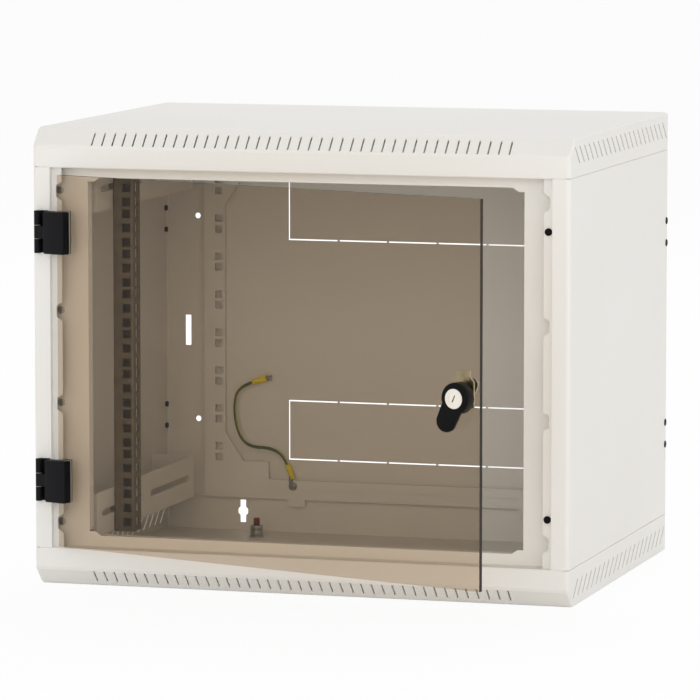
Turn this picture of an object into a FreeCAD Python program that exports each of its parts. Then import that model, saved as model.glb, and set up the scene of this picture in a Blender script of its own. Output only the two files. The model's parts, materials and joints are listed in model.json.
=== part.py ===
import FreeCAD
import Part
import Sketcher
import math
import os
from types import SimpleNamespace

# Wall cabinet for 19 inch equipment: folded sheet covers and side panels, a hinged glass door
# with a turning lock, and two mounting rails that slide on slotted brackets.
# X runs to the right seen from the front, the front faces -Y, Z is up.
# The origin is the middle of the bottom face.  Sizes in millimetres.

doc = FreeCAD.newDocument("wall_cabinet")
table = doc.addObject("Spreadsheet::Sheet", "Dims")

SIZES = {
    "width": 600, "depth": 450, "height": 500, "gauge": 1.5, "corner": 5, "bevel": 2, "seam_gap": 0.8,
    "cut_margin": 2, "slack": 0.3,
    "cover_height": 42.5, "lip_height": 23, "slope_run": 20, "rim_front": 24, "rim_side": 14,
    "rim_rear": 6,
    "vent_count": 41, "vent_pitch": 11.65, "vent_width": 1.9, "vent_inset": 1.5, "vent_run": 14.6,
    "gill_count": 21, "gill_pitch": 20, "gill_width": 3.4, "gill_start": 38, "gill_lean": 20,
    "gill_low": 14.3, "gill_high": 32.5,
    "keyhole_x": 206, "keyhole_z": 24, "keyhole_radius": 6.5, "keyhole_neck": 7, "keyhole_tall": 26.5,
    "post_width": 19.5, "post_recess": 7, "strip_width": 11, "notch_depth": 6.5, "notch_tall": 21,
    "notch_inner": 12, "notch_low": 68.5, "notch_mid": 199.5,
    "rear_flange": 53, "wall_hole_x": 260.5, "wall_hole_z": 119, "wall_hole_radius": 3.3,
    "wall_slot_x": 272.6, "wall_slot_low": 217, "wall_slot_tall": 35.5, "wall_slot_wide": 7,
    "plug_y": 217, "plug_near": 102.5, "plug_far": 127.5, "plug_radius": 4, "plug_hole": 3.4,
    "plug_stem": 4, "plug_head": 1,
    "frame_y": 203, "opening_width": 489, "opening_height": 391.5, "frame_return": 13,
    "tongue_wide": 13, "tongue_tall": 4.5, "frame_screw_x": 276, "frame_screw_radius": 4,
    "frame_screw_tall": 2.5,
    "rear_y": 215, "rear_gauge": 2, "upright_outer": 250.5, "upright_inner": 225,
    "gusset_high": 117, "gusset_low": 84, "gusset_x": 203, "gusset_end": 172, "bar_top": 63.7,
    "bar_low": 41, "bead_half": 169, "bead_tall": 10.5, "bead_deep": 1.5,
    "tab_x": 138.5, "tab_width": 21, "tab_low": 32.5,
    "unit": 44.45, "hole_x": 232.55, "rear_hole": 8.5, "rear_pair": 6.35, "unit_zero": 50,
    "panel_half": 246, "panel_low": 46, "panel_flange": 6.5,
    "knock_half": 148.7, "knock_low": 87.5, "knock_tall": 68.5, "slit": 1.6, "knock_bridge": 2.4,
    "knock_cell": 59.4,
    "bracket_face": 248.3, "bracket_gauge": 2, "bracket_half": 168, "bracket_foot": 18,
    "bracket_low": 47, "bracket_tall": 48, "bracket_slot_near": 13, "bracket_slot_far": 150,
    "bracket_slot_radius": 3.75,
    "rail_face": 112, "rail_inner": 225, "rail_outer": 248, "rail_depth": 25, "rail_low": 46,
    "rail_gauge": 1.5, "rail_lip": 12, "rail_hole": 9.5, "hole_first": 6.35, "hole_step": 15.875,
    "web_hole": 7, "units": 9, "bolt_y": 99, "bolt_radius": 3, "bolt_head_tall": 4, "bolt_length": 10,
    "nut_across": 10, "nut_tall": 5,
    "hinge_x": 292.6, "hinge_y": 231, "hinge_upper": 388, "hinge_lower": 117.5, "hinge_tall": 46,
    "knuckle_radius": 3.7, "knuckle_gap": 0.8, "washer_tall": 0.6, "pin_radius": 2, "pin_clearance": 0.05,
    "leaf_gauge": 2, "leaf_left": 294, "leaf_right": 281.5, "leaf_web_out": 1.4, "leaf_web_in": 3,
    "block_near": 13, "block_far": 40,
    "block_front": 7, "block_bevel": 1.5, "arm_rear": 3, "pad_gauge": 1, "pad_over": 0.5,
    "clamp_gauge": 3, "clamp_near": 24, "clamp_far": 35,
    "clamp_screw_u": 29.5, "clamp_screw_z": 12, "clamp_screw_radius": 2.5, "clamp_screw_head": 4,
    "clamp_screw_head_tall": 2, "clamp_screw_bite": 5, "thread_depth": 6,
    "glass_left": 270.2, "glass_right": 278, "glass_low": 45, "glass_tall": 405, "glass_gauge": 5,
    "glass_front": 225.2, "glass_screw_hole": 4, "door_open": 18.3,
    "lock_x": 256.4, "lock_z": 245, "lock_hole": 9.3, "barrel_radius": 9, "barrel_back": 214.7,
    "rosette_radius": 14, "rosette_tall": 2, "lever_back": 227.5, "lever_front": 240.5,
    "collar_radius": 16.5, "brim_tall": 5.5, "lever_radius": 12.5, "lobe_radius": 11.5, "lobe_reach": 26.5,
    "lever_turn": 25, "lever_bevel": 2, "cylinder_radius": 10.8, "cylinder_front": 241.9,
    "cylinder_seat": 230, "spindle_radius": 5, "spindle_gap": 0.1,
    "core_radius": 7, "core_front": 241.5, "core_back": 231.2, "core_gap": 0.05, "core_end_gap": 0.2,
    "key_wide": 1.6, "key_tall": 8, "key_deep": 5,
    "plate_half": 10.8, "plate_low": 10.8, "plate_shoulder": 16, "plate_cut": 5, "plate_high": 27,
    "plate_gauge": 2, "cam_front": 214.4, "cam_gauge": 2.2, "cam_radius": 6, "cam_reach": 14,
    "cam_square": 7, "cam_screw_radius": 5.5, "cam_screw_tall": 3,
    "bumper_x": 274.8, "bumper_low": 95,
    "bumper_high": 401, "bumper_radius": 4, "bumper_tall": 2,
    "stud_x": 175, "stud_y": 178, "stud_radius": 4, "stud_tall": 22, "washer_radius": 8.5,
    "washer_gauge": 1.6, "stud_nut_across": 13, "stud_nut_tall": 6.5, "flat_nut_tall": 5,
    "lead_radius": 1.8, "ring_radius": 5, "ring_gauge": 1, "ring_x": 142, "ring_z": 57,
    "ring_screw_across": 7, "ring_screw_tall": 2.6, "ring_tongue_wide": 4, "ring_tongue_deep": 2.4,
    "ring_tongue_start": 4, "ring_tongue_long": 8, "crimp_radius": 3.3, "crimp_long": 18,
    "socket_radius": 3.2, "socket_long": 17, "blade_wide": 6, "blade_long": 5, "blade_gauge": 0.8,
}


class Size:
    """A length together with the sheet formula it comes from."""

    def __init__(self, value, text):
        self.value = value
        self.text = text

    def __add__(self, other):
        other = as_size(other)
        return Size(self.value + other.value, "(%s + %s)" % (self.text, other.text))

    def __sub__(self, other):
        other = as_size(other)
        return Size(self.value - other.value, "(%s - %s)" % (self.text, other.text))

    def __mul__(self, other):
        other = as_size(other)
        return Size(self.value * other.value, "(%s * %s)" % (self.text, other.text))

    def __truediv__(self, other):
        other = as_size(other)
        return Size(self.value / other.value, "(%s / %s)" % (self.text, other.text))

    def __neg__(self):
        return Size(-self.value, "(0 - %s)" % self.text)


def as_size(number):
    if isinstance(number, Size):
        return number
    return Size(float(number), "(%.6g)" % number)


for row, (alias, number) in enumerate(SIZES.items(), 1):
    table.set("A%d" % row, alias)
    table.set("B%d" % row, str(number))
    table.setAlias("B%d" % row, alias)
doc.recompute()
d = SimpleNamespace(**{name: Size(float(table.get(name)), "Dims." + name) for name in SIZES})

BEVEL = 2 - math.sqrt(2)
HEAD_SIDES = 8
SHANK_SIDES = 6
BARREL_SIDES = 10
LOCK_SIDES = 14
LEAD_SIDES = 4
HULL_STEPS = 7
half_width = d.width / 2
half_depth = d.depth / 2
mid_height = d.height / 2
seam_high = d.height - d.cover_height
pieces = []


def new_body(name):
    body = doc.addObject("PartDesign::Body", name)
    body.Label = name
    pieces.append(body)
    return body


def new_sketch(body, name, role, level=0):
    sketch = body.newObject("Sketcher::SketchObject", name)
    plane = [item for item in body.Origin.OriginFeatures if item.Role == role][0]
    sketch.AttachmentSupport = [(plane, "")]
    sketch.MapMode = "FlatFace"
    sketch.setExpression("AttachmentOffset.Base.z", as_size(level).text)
    return sketch


def bind_constraint(sketch, size, *parts):
    size = as_size(size)
    index = sketch.addConstraint(Sketcher.Constraint(*parts, size.value))
    sketch.setExpression("Constraints[%d]" % index, size.text)


def hold(sketch, geometry, point, across, up):
    bind_constraint(sketch, across, "DistanceX", -1, 1, geometry, point)
    bind_constraint(sketch, up, "DistanceY", -1, 1, geometry, point)


def draw_polygon(sketch, corners):
    corners = [(as_size(across), as_size(up)) for across, up in corners]
    points = [FreeCAD.Vector(across.value, up.value, 0) for across, up in corners]
    first = len(sketch.Geometry)
    count = len(points)
    for index in range(count):
        sketch.addGeometry(Part.LineSegment(points[index], points[(index + 1) % count]), False)
    for index in range(count):
        sketch.addConstraint(
            Sketcher.Constraint("Coincident", first + index, 2, first + (index + 1) % count, 1))
    for index, (across, up) in enumerate(corners):
        hold(sketch, first + index, 1, across, up)


def draw_box(sketch, left, right, low, high):
    draw_polygon(sketch, [(left, low), (right, low), (right, high), (left, high)])


def draw_circle(sketch, across, up, radius):
    across, up, radius = as_size(across), as_size(up), as_size(radius)
    centre = FreeCAD.Vector(across.value, up.value, 0)
    geometry = sketch.addGeometry(Part.Circle(centre, FreeCAD.Vector(0, 0, 1), radius.value), False)
    hold(sketch, geometry, 3, across, up)
    bind_constraint(sketch, radius, "Radius", geometry)


def draw_disc(sketch, across, up, radius, sides):
    """Regular polygon with its corners on the circle, for small round pieces and their holes."""
    across, up, radius = as_size(across), as_size(up), as_size(radius)
    turns = [2 * math.pi * (side + 0.5) / sides for side in range(sides)]
    draw_polygon(sketch, [(across + radius * math.cos(t), up + radius * math.sin(t)) for t in turns])


def draw_hexagon(sketch, across, up, flats):
    draw_disc(sketch, across, up, flats / math.sqrt(3), 6)


def around(radius, sides):
    """Corner radius of the regular polygon whose sides touch the circle of this radius."""
    return as_size(radius) / math.cos(math.pi / sides)


def draw_slot(sketch, near_end, far_end, level, radius):
    """Straight slot with cut corners at both ends."""
    cut = radius * BEVEL
    draw_polygon(sketch, [
        (near_end, level + cut - radius), (near_end + cut, level - radius), (far_end - cut, level - radius),
        (far_end, level + cut - radius), (far_end, level + radius - cut), (far_end - cut, level + radius),
        (near_end + cut, level + radius), (near_end, level + radius - cut)])


def draw_hull(sketch, start, end, start_radius, end_radius, steps):
    """Outline of two circles joined by their outer tangents, each arc in the given number of steps."""
    run_x, run_y = [(as_size(b) - a).value for a, b in zip(start, end)]
    heading = math.atan2(run_y, run_x)
    swing = math.acos((start_radius - end_radius).value / math.hypot(run_x, run_y))
    corners = []
    for (across, up), radius, first, last in (
            (start, start_radius, heading + swing, heading + 2 * math.pi - swing),
            (end, end_radius, heading - swing, heading + swing)):
        for step in range(steps + 1):
            turn = first + (last - first) * step / steps
            corners.append((across + radius * math.cos(turn), up + radius * math.sin(turn)))
    draw_polygon(sketch, corners)


def grow(body, kind, sketch, length, flip=False, both=False):
    """Pad or pocket a sketch; flip turns it to the other side of the sketch."""
    feature = body.newObject("PartDesign::" + kind, sketch.Name + "_" + kind.lower())
    feature.Profile = sketch
    if both:
        feature.SideType = "Symmetric"
    feature.Reversed = flip
    feature.setExpression("Length", as_size(length).text)
    doc.recompute()
    return feature


def pad(body, sketch, length, flip=False, both=False):
    return grow(body, "Pad", sketch, length, flip, both)


def pocket(body, sketch, length, flip=False, both=False):
    before = body.Shape.Volume
    feature = grow(body, "Pocket", sketch, length, flip, both)
    if before - feature.Shape.Volume < 0.5:
        raise RuntimeError("%s removes nothing" % feature.Name)
    return feature


def repeat(body, feature, sketch, axis, pitch, count):
    pattern = body.newObject("PartDesign::LinearPattern", feature.Name + "_row")
    pattern.Originals = [feature]
    pattern.Direction = (sketch, [axis])
    pattern.setExpression("Length", (as_size(pitch) * (as_size(count) - 1)).text)
    pattern.setExpression("Occurrences", as_size(count).text)
    body.Tip = pattern
    doc.recompute()
    return pattern


def dress_edges(body, kind, size, chosen):
    """Fillet or chamfer the edges of the body for which chosen(first point, last point) holds."""
    base = body.Tip
    names = []
    for index, edge in enumerate(base.Shape.Edges, 1):
        if len(edge.Vertexes) == 2 and chosen(edge.Vertexes[0].Point, edge.Vertexes[1].Point):
            names.append("Edge%d" % index)
    feature = body.newObject("PartDesign::" + kind, "%s_%s_%d" % (body.Name, kind.lower(), len(body.Group)))
    feature.Base = (base, names)
    feature.setExpression("Radius" if kind == "Fillet" else "Size", as_size(size).text)
    doc.recompute()


def upright(a, b):
    return near(a.x, b.x) and near(a.y, b.y)


def near(value, target):
    return abs(value - as_size(target).value) < 0.01


def mirror(source, name, normal, base=(0, 0, 0)):
    """Opposite-hand twin of a piece."""
    twin = doc.addObject("Part::Mirroring", name)
    twin.Label = name
    twin.Source = source
    twin.Normal = FreeCAD.Vector(*normal)
    twin.Base = FreeCAD.Vector(*base)
    doc.recompute()
    pieces.append(twin)
    return twin


def upside_down(source, name):
    return mirror(source, name, (0, 0, 1), (0, 0, mid_height.value))


def other_hand(source, name):
    return mirror(source, name, (1, 0, 0))


# Base cover: a tray with a front lip, a sloping front edge with a row of vents, slanted gills along
# both sides, an inward rim at the seam and two keyholes in the rear wall.  The roof is its twin.
def tray_solid(body, name, inset, top):
    """Outline of the cover, set in by the inset on all sides."""
    rise = d.cover_height - d.lip_height
    slant = rise * rise + d.slope_run * d.slope_run
    slant = Size(math.sqrt(slant.value), "sqrt(%s)" % slant.text)
    inset = as_size(inset)
    outline = new_sketch(body, name, "YZ_Plane")
    draw_polygon(outline, [
        (inset - half_depth, rise + inset * (slant - rise) / d.slope_run),
        (d.slope_run - half_depth + inset * (slant - d.slope_run) / rise, inset),
        (half_depth - inset, inset), (half_depth - inset, top), (inset - half_depth, top)])
    pad(body, outline, d.width - inset * 2, both=True)


base = new_body("base_cover")
wall_top = d.cover_height - d.seam_gap
tray_solid(base, "base_outside", 0, wall_top)
dress_edges(base, "Fillet", d.corner, upright)
dress_edges(base, "Chamfer", d.bevel, lambda a, b: not (
    upright(a, b) or near(a.z, wall_top) and near(b.z, wall_top)))
hollow = doc.addObject("PartDesign::Body", "base_hollow")
tray_solid(hollow, "base_inside", d.gauge, d.cover_height)
dress_edges(hollow, "Chamfer", (d.corner - d.gauge) * BEVEL, upright)
tray = base.newObject("PartDesign::Boolean", "base_tray")
tray.Type = "Cut"
tray.Group = [hollow]
doc.recompute()
rim = new_sketch(base, "base_rim", "XY_Plane", d.cover_height - d.gauge)
inset = d.gauge / 2
rim_x = half_width - inset
rim_y = half_depth - inset
draw_polygon(rim, [
    (d.corner - rim_x, -rim_y), (rim_x - d.corner, -rim_y), (rim_x, d.corner - rim_y),
    (rim_x, rim_y - d.corner), (rim_x - d.corner, rim_y), (d.corner - rim_x, rim_y),
    (-rim_x, rim_y - d.corner), (-rim_x, d.corner - rim_y)])
draw_box(rim, d.rim_side - half_width, half_width - d.rim_side,
         d.rim_front - half_depth, half_depth - d.rim_rear)
pad(base, rim, d.gauge)
vent = new_sketch(base, "base_vent", "XY_Plane")
vent_x = -(d.vent_pitch * (d.vent_count - 1) / 2)
vent_y = d.vent_inset - half_depth
draw_box(vent, vent_x - d.vent_width / 2, vent_x + d.vent_width / 2, vent_y, vent_y + d.vent_run)
vent_cut = pocket(base, vent, d.cover_height - d.lip_height + d.gauge, flip=True)
repeat(base, vent_cut, vent, "H_Axis", d.vent_pitch, d.vent_count)
gill = new_sketch(base, "base_gill", "YZ_Plane")
gill_y = d.gill_start - half_depth
gill_top = d.cover_height - d.gill_low
gill_bottom = d.cover_height - d.gill_high
draw_polygon(gill, [
    (gill_y - d.gill_lean, gill_bottom), (gill_y - d.gill_lean + d.gill_width, gill_bottom),
    (gill_y + d.gill_width, gill_top), (gill_y, gill_top)])
gill_cut = pocket(base, gill, d.width + d.cut_margin, both=True)
repeat(base, gill_cut, gill, "H_Axis", d.gill_pitch, d.gill_count)
keyhole = new_sketch(base, "base_keyhole", "XZ_Plane")
neck = new_sketch(base, "base_keyhole_neck", "XZ_Plane")
for hand in (-1, 1):
    draw_disc(keyhole, d.keyhole_x * hand, d.keyhole_z, d.keyhole_radius, HEAD_SIDES)
    draw_box(neck, d.keyhole_x * hand - d.keyhole_neck / 2, d.keyhole_x * hand + d.keyhole_neck / 2,
             d.keyhole_z - d.keyhole_tall / 2, d.keyhole_z + d.keyhole_tall / 2)
pocket(base, keyhole, d.depth)
pocket(base, neck, d.depth)
upside_down(base, "roof_cover")

# Side panel: one folded sheet.  The front edge turns into a post with a set-back strip for the door,
# the rear edge into a flange with wall holes.
panel = new_body("side_panel_left")
fold = new_sketch(panel, "panel_fold", "XY_Plane", d.cover_height)
post_x = half_width - d.post_width
strip_y = half_depth - d.post_recess
strip_x = post_x - d.strip_width
flange_x = half_width - d.rear_flange
inside_x = half_width - d.gauge
inside_y = half_depth - d.gauge
inside_cut = (d.corner - d.gauge) * BEVEL
draw_polygon(fold, [
    (-flange_x, half_depth), (-half_width, half_depth), (-half_width, -half_depth),
    (-post_x, -half_depth), (-post_x, -strip_y), (-strip_x, -strip_y),
    (-strip_x, d.gauge - strip_y), (-(post_x + d.gauge), d.gauge - strip_y),
    (-(post_x + d.gauge), -inside_y), (inside_cut - inside_x, -inside_y),
    (-inside_x, inside_cut - inside_y), (-inside_x, inside_y - inside_cut),
    (inside_cut - inside_x, inside_y), (-flange_x, inside_y)])
pad(panel, fold, seam_high - d.cover_height)
dress_edges(panel, "Fillet", d.corner, lambda a, b: upright(a, b) and near(a.x, -half_width)
            and near(abs(a.y), half_depth))
notch_levels = [d.notch_low, d.notch_mid, d.height - d.notch_mid, d.height - d.notch_low]
notches = new_sketch(panel, "panel_notches", "XZ_Plane", strip_y + d.cut_margin)
for level in notch_levels:
    draw_polygon(notches, [
        (d.cut_margin - strip_x, level - d.notch_tall / 2),
        (d.cut_margin - strip_x, level + d.notch_tall / 2),
        (-strip_x, level + d.notch_tall / 2), (-(strip_x + d.notch_depth), level + d.notch_inner / 2),
        (-(strip_x + d.notch_depth), level - d.notch_inner / 2), (-strip_x, level - d.notch_tall / 2)])
pocket(panel, notches, d.gauge + d.cut_margin * 2)
wall_holes = new_sketch(panel, "panel_wall_holes", "XZ_Plane", d.cut_margin - inside_y)
for hand in (-1, 1):
    draw_circle(wall_holes, -d.wall_hole_x, mid_height + d.wall_hole_z * hand, d.wall_hole_radius)
draw_box(wall_holes, -(d.wall_slot_x + d.wall_slot_wide / 2), d.wall_slot_wide / 2 - d.wall_slot_x,
         d.wall_slot_low, d.wall_slot_low + d.wall_slot_tall)
pocket(panel, wall_holes, d.gauge + d.cut_margin * 2)
plug_levels = [mid_height + gap * hand for hand in (-1, 1) for gap in (d.plug_near, d.plug_far)]
plug_holes = new_sketch(panel, "panel_plug_holes", "YZ_Plane")
for level in plug_levels:
    draw_disc(plug_holes, d.plug_y, level, d.plug_hole, SHANK_SIDES)
pocket(panel, plug_holes, d.width)
other_hand(panel, "side_panel_right")

# Plugs that close the four unused holes in each side panel.
plugs = new_body("hole_plugs_left")
for name, radius, start, length, sides in (
        ("head", d.plug_radius, half_width, d.plug_head, HEAD_SIDES),
        ("stem", d.plug_hole - d.slack, half_width - d.plug_stem, d.plug_stem, SHANK_SIDES)):
    sketch = new_sketch(plugs, "plug_" + name, "YZ_Plane", -start)
    for level in plug_levels:
        draw_disc(sketch, d.plug_y, level, radius, sides)
    pad(plugs, sketch, length, flip=True)
other_hand(plugs, "hole_plugs_right")

# Front frame: a plate ring behind the door with a return at its opening.
frame = new_body("front_frame")
ring = new_sketch(frame, "frame_ring", "XZ_Plane", d.frame_y)
draw_box(ring, -inside_x, inside_x, d.cover_height, seam_high)
open_x = d.opening_width / 2
open_low = mid_height - d.opening_height / 2
open_high = mid_height + d.opening_height / 2
tongue_x = open_x - d.tongue_wide
tongue_mid = open_x - d.tongue_wide / 2
draw_polygon(ring, [
    (-tongue_x, open_low), (tongue_x, open_low), (tongue_mid, open_low + d.tongue_tall),
    (open_x, open_low + d.tongue_tall), (open_x, open_high - d.tongue_tall),
    (tongue_mid, open_high - d.tongue_tall), (tongue_x, open_high), (-tongue_x, open_high),
    (-tongue_mid, open_high - d.tongue_tall), (-open_x, open_high - d.tongue_tall),
    (-open_x, open_low + d.tongue_tall), (-tongue_mid, open_low + d.tongue_tall)])
pad(frame, ring, d.gauge, flip=True)
returns = new_sketch(frame, "frame_returns", "XZ_Plane", d.frame_y)
for low, high in ((open_low - d.gauge, open_low), (open_high, open_high + d.gauge)):
    draw_box(returns, -tongue_x, tongue_x, low, high)
for left, right in ((-(open_x + d.gauge), -open_x), (open_x, open_x + d.gauge)):
    draw_box(returns, left, right, open_low + d.tongue_tall + d.gauge, open_high - d.tongue_tall - d.gauge)
pad(frame, returns, d.frame_return, flip=True)
screws = new_body("frame_screws")
heads = new_sketch(screws, "screw_heads", "XZ_Plane", d.frame_y)
for hand in (-1, 1):
    for level in notch_levels:
        draw_disc(heads, d.frame_screw_x * hand, level, d.frame_screw_radius, HEAD_SIDES)
pad(screws, heads, d.frame_screw_tall)

# Rear frame: two perforated uprights joined by beaded bars, with gussets in the corners.
rear = new_body("rear_frame")
plate = new_sketch(rear, "rear_plate", "XZ_Plane", -d.rear_y)


def both_ends(points):
    """A run of corner points along the bottom, then its mirror image along the top."""
    return points + [(across, d.height - up) for across, up in reversed(points)]


def both_hands(points):
    """A run of points from the left to the middle, then its mirror image on the right."""
    return points + [(-across, up) for across, up in reversed(points)]


tab_left = -(d.tab_x + d.tab_width / 2)
tab_right = -(d.tab_x - d.tab_width / 2)
draw_polygon(plate, both_ends(both_hands([
    (-d.upright_outer, d.bar_low), (tab_left, d.bar_low), (tab_left, d.tab_low),
    (tab_right, d.tab_low), (tab_right, d.bar_low)])))
draw_polygon(plate, both_ends(both_hands([
    (-d.upright_inner, d.gusset_high), (-d.gusset_x, d.gusset_low), (-d.gusset_end, d.gusset_low),
    (-d.gusset_end, d.bar_top)])))
pad(rear, plate, d.rear_gauge, flip=True)
webs = new_sketch(rear, "rear_webs", "XZ_Plane", -d.rear_y)
for hand in (-1, 1):
    draw_box(webs, d.upright_outer * hand, (d.upright_outer - d.gauge) * hand,
             d.panel_low, d.height - d.panel_low)
pad(rear, webs, half_depth - d.gauge - d.rear_y, flip=True)
folds = new_sketch(rear, "rear_folds", "XZ_Plane", -d.rear_y)
for hand in (-1, 1):
    draw_box(folds, d.upright_inner * hand, (d.upright_inner + d.gauge) * hand,
             d.gusset_high, d.height - d.gusset_high)
pad(rear, folds, half_depth - d.gauge * 2 - d.slack - d.rear_y, flip=True)
beads = new_sketch(rear, "rear_beads", "XZ_Plane", -d.rear_y)
for low, high in ((d.bar_top - d.bead_tall, d.bar_top),
                  (d.height - d.bar_top, d.height - d.bar_top + d.bead_tall)):
    draw_box(beads, -d.bead_half, d.bead_half, low, high)
pad(rear, beads, d.bead_deep)
pair = new_sketch(rear, "rear_holes", "XZ_Plane", d.cut_margin - d.rear_y)
for hand in (-1, 1):
    for shift in (-1, 1):
        across = d.hole_x * hand
        level = d.unit_zero + d.unit + d.rear_pair * shift
        draw_box(pair, across - d.rear_hole / 2, across + d.rear_hole / 2,
                 level - d.rear_hole / 2, level + d.rear_hole / 2)
pair_cut = pocket(rear, pair, d.rear_gauge + d.cut_margin * 2)
repeat(rear, pair_cut, pair, "V_Axis", d.unit, d.units - 1)

# Rear panel: a shallow tray with two knock-out cable entries held by small bridges.
back = new_body("rear_panel")
skin = new_sketch(back, "back_skin", "XZ_Plane", d.gauge - half_depth)
draw_box(skin, -d.panel_half, d.panel_half, d.panel_low, d.height - d.panel_low)
pad(back, skin, d.gauge)
edge = new_sketch(back, "back_edge", "XZ_Plane", d.gauge - half_depth)
draw_box(edge, -d.panel_half, d.panel_half, d.panel_low, d.height - d.panel_low)
draw_box(edge, d.gauge - d.panel_half, d.panel_half - d.gauge,
         d.panel_low + d.gauge, d.height - d.panel_low - d.gauge)
pad(back, edge, d.panel_flange)
slits = new_sketch(back, "back_slits", "XZ_Plane", d.cut_margin + d.gauge - half_depth)
knock_high = d.knock_low + d.knock_tall
half_slit = d.slit / 2
reach = (d.knock_cell - d.knock_bridge) / 2
for cell in (-1, 0, 1):
    middle = d.knock_cell * cell
    for level in (d.knock_low, knock_high):
        draw_box(slits, middle - reach, middle + reach, level - half_slit, level + half_slit)
for hand in (-1, 1):
    outer = (d.knock_half + half_slit) * hand
    inner = (d.knock_half - half_slit) * hand
    end = (d.knock_cell * 2 - reach) * hand
    draw_polygon(slits, [
        (outer, d.knock_low - half_slit), (end, d.knock_low - half_slit), (end, d.knock_low + half_slit),
        (inner, d.knock_low + half_slit), (inner, knock_high - half_slit), (end, knock_high - half_slit),
        (end, knock_high + half_slit), (outer, knock_high + half_slit)])
slit_cut = pocket(back, slits, d.gauge + d.cut_margin * 2)
repeat(back, slit_cut, slits, "V_Axis", d.height - d.knock_low * 2 - d.knock_tall, 2)

# Depth brackets: hat sections on the side panels with slots for the rail bolts.
bracket = new_body("rail_bracket_bottom_left")
hat = new_sketch(bracket, "bracket_hat", "XY_Plane", d.bracket_low)
foot_x = inside_x - d.bracket_gauge
leg_y = d.bracket_half - d.bracket_gauge
half_hat = [
    (-inside_x, d.bracket_half + d.bracket_foot), (-foot_x, d.bracket_half + d.bracket_foot),
    (-foot_x, d.bracket_half), (-d.bracket_face, d.bracket_half)]
draw_polygon(hat, half_hat + [(across, -up) for across, up in reversed(half_hat)] + [
    (-inside_x, -leg_y), (-(d.bracket_face + d.bracket_gauge), -leg_y),
    (-(d.bracket_face + d.bracket_gauge), leg_y), (-inside_x, leg_y)])
pad(bracket, hat, d.bracket_tall)
slots = new_sketch(bracket, "bracket_slots", "YZ_Plane")
slot_z = d.bracket_low + d.bracket_tall / 2
for near_end, far_end in ((-d.bracket_slot_far, -d.bracket_slot_near),
                          (d.bracket_slot_near, d.bracket_slot_far)):
    draw_slot(slots, near_end, far_end, slot_z, d.bracket_slot_radius)
pocket(bracket, slots, d.bracket_face + d.bracket_gauge + d.cut_margin)
other_hand(bracket, "rail_bracket_bottom_right")
top_bracket = upside_down(bracket, "rail_bracket_top_left")
other_hand(top_bracket, "rail_bracket_top_right")

# Mounting rail: a lipped channel with three square holes per height unit in its face and inner web.
rail = new_body("rail_left")
channel = new_sketch(rail, "rail_channel", "XY_Plane", d.rail_low)
rail_back = d.rail_face - d.rail_depth
rail_skin = d.rail_face - d.rail_gauge
draw_polygon(channel, [
    (-d.rail_outer, -d.rail_face), (-d.rail_inner, -d.rail_face), (-d.rail_inner, -rail_back),
    (-(d.rail_inner + d.rail_gauge), -rail_back), (-(d.rail_inner + d.rail_gauge), -rail_skin),
    (d.rail_gauge - d.rail_outer, -rail_skin), (d.rail_gauge - d.rail_outer, -(rail_back + d.rail_gauge)),
    (d.rail_lip - d.rail_outer, -(rail_back + d.rail_gauge)), (d.rail_lip - d.rail_outer, -rail_back),
    (-d.rail_outer, -rail_back)])
pad(rail, channel, d.height - d.rail_low * 2)
dress_edges(rail, "Chamfer", d.rail_gauge, lambda a, b: upright(a, b) and near(a.y, -d.rail_face))
face_holes = new_sketch(rail, "rail_face_holes", "XZ_Plane", d.rail_face + d.cut_margin)
web_holes = new_sketch(rail, "rail_web_holes", "YZ_Plane")
for step in range(3):
    level = d.unit_zero + d.hole_first + d.hole_step * step
    low, high = level - d.rail_hole / 2, level + d.rail_hole / 2
    draw_box(face_holes, -(d.hole_x + d.rail_hole / 2), d.rail_hole / 2 - d.hole_x, low, high)
    draw_box(web_holes, -(d.bolt_y + d.web_hole / 2), d.web_hole / 2 - d.bolt_y, low, high)
face_cut = pocket(rail, face_holes, d.rail_gauge + d.cut_margin * 2)
repeat(rail, face_cut, face_holes, "V_Axis", d.unit, d.units)
web_cut = pocket(rail, web_holes, d.rail_inner + d.rail_gauge + d.cut_margin)
repeat(rail, web_cut, web_holes, "V_Axis", d.unit, d.units)
bolt_holes = new_sketch(rail, "rail_bolt_holes", "YZ_Plane", d.rail_gauge + d.cut_margin - d.rail_outer)
bolt_levels = [slot_z, d.height - slot_z]
for level in bolt_levels:
    draw_disc(bolt_holes, -d.bolt_y, level, d.bolt_radius + d.slack, SHANK_SIDES)
pocket(rail, bolt_holes, d.rail_gauge + d.cut_margin * 2)
other_hand(rail, "rail_right")

# Bolts and nuts that clamp a rail to its two brackets.
bolts = new_body("rail_bolts_left")
bolt_heads = new_sketch(bolts, "bolt_heads", "YZ_Plane", d.rail_gauge - d.rail_outer)
bolt_shanks = new_sketch(bolts, "bolt_shanks", "YZ_Plane", d.rail_gauge - d.rail_outer)
for level in bolt_levels:
    draw_hexagon(bolt_heads, -d.bolt_y, level, d.nut_across)
    draw_disc(bolt_shanks, -d.bolt_y, level, d.bolt_radius, SHANK_SIDES)
pad(bolts, bolt_heads, d.bolt_head_tall)
pad(bolts, bolt_shanks, d.bolt_length, flip=True)
other_hand(bolts, "rail_bolts_right")
nuts = new_body("rail_nuts_left")
nut_face = d.bracket_face + d.bracket_gauge + d.slack
sketch = new_sketch(nuts, "nut_outline", "YZ_Plane", -nut_face)
for level in bolt_levels:
    draw_hexagon(sketch, -d.bolt_y, level, d.nut_across)
    draw_disc(sketch, -d.bolt_y, level, d.bolt_radius, SHANK_SIDES)
pad(nuts, sketch, d.nut_tall, flip=True)
other_hand(nuts, "rail_nuts_right")

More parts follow.
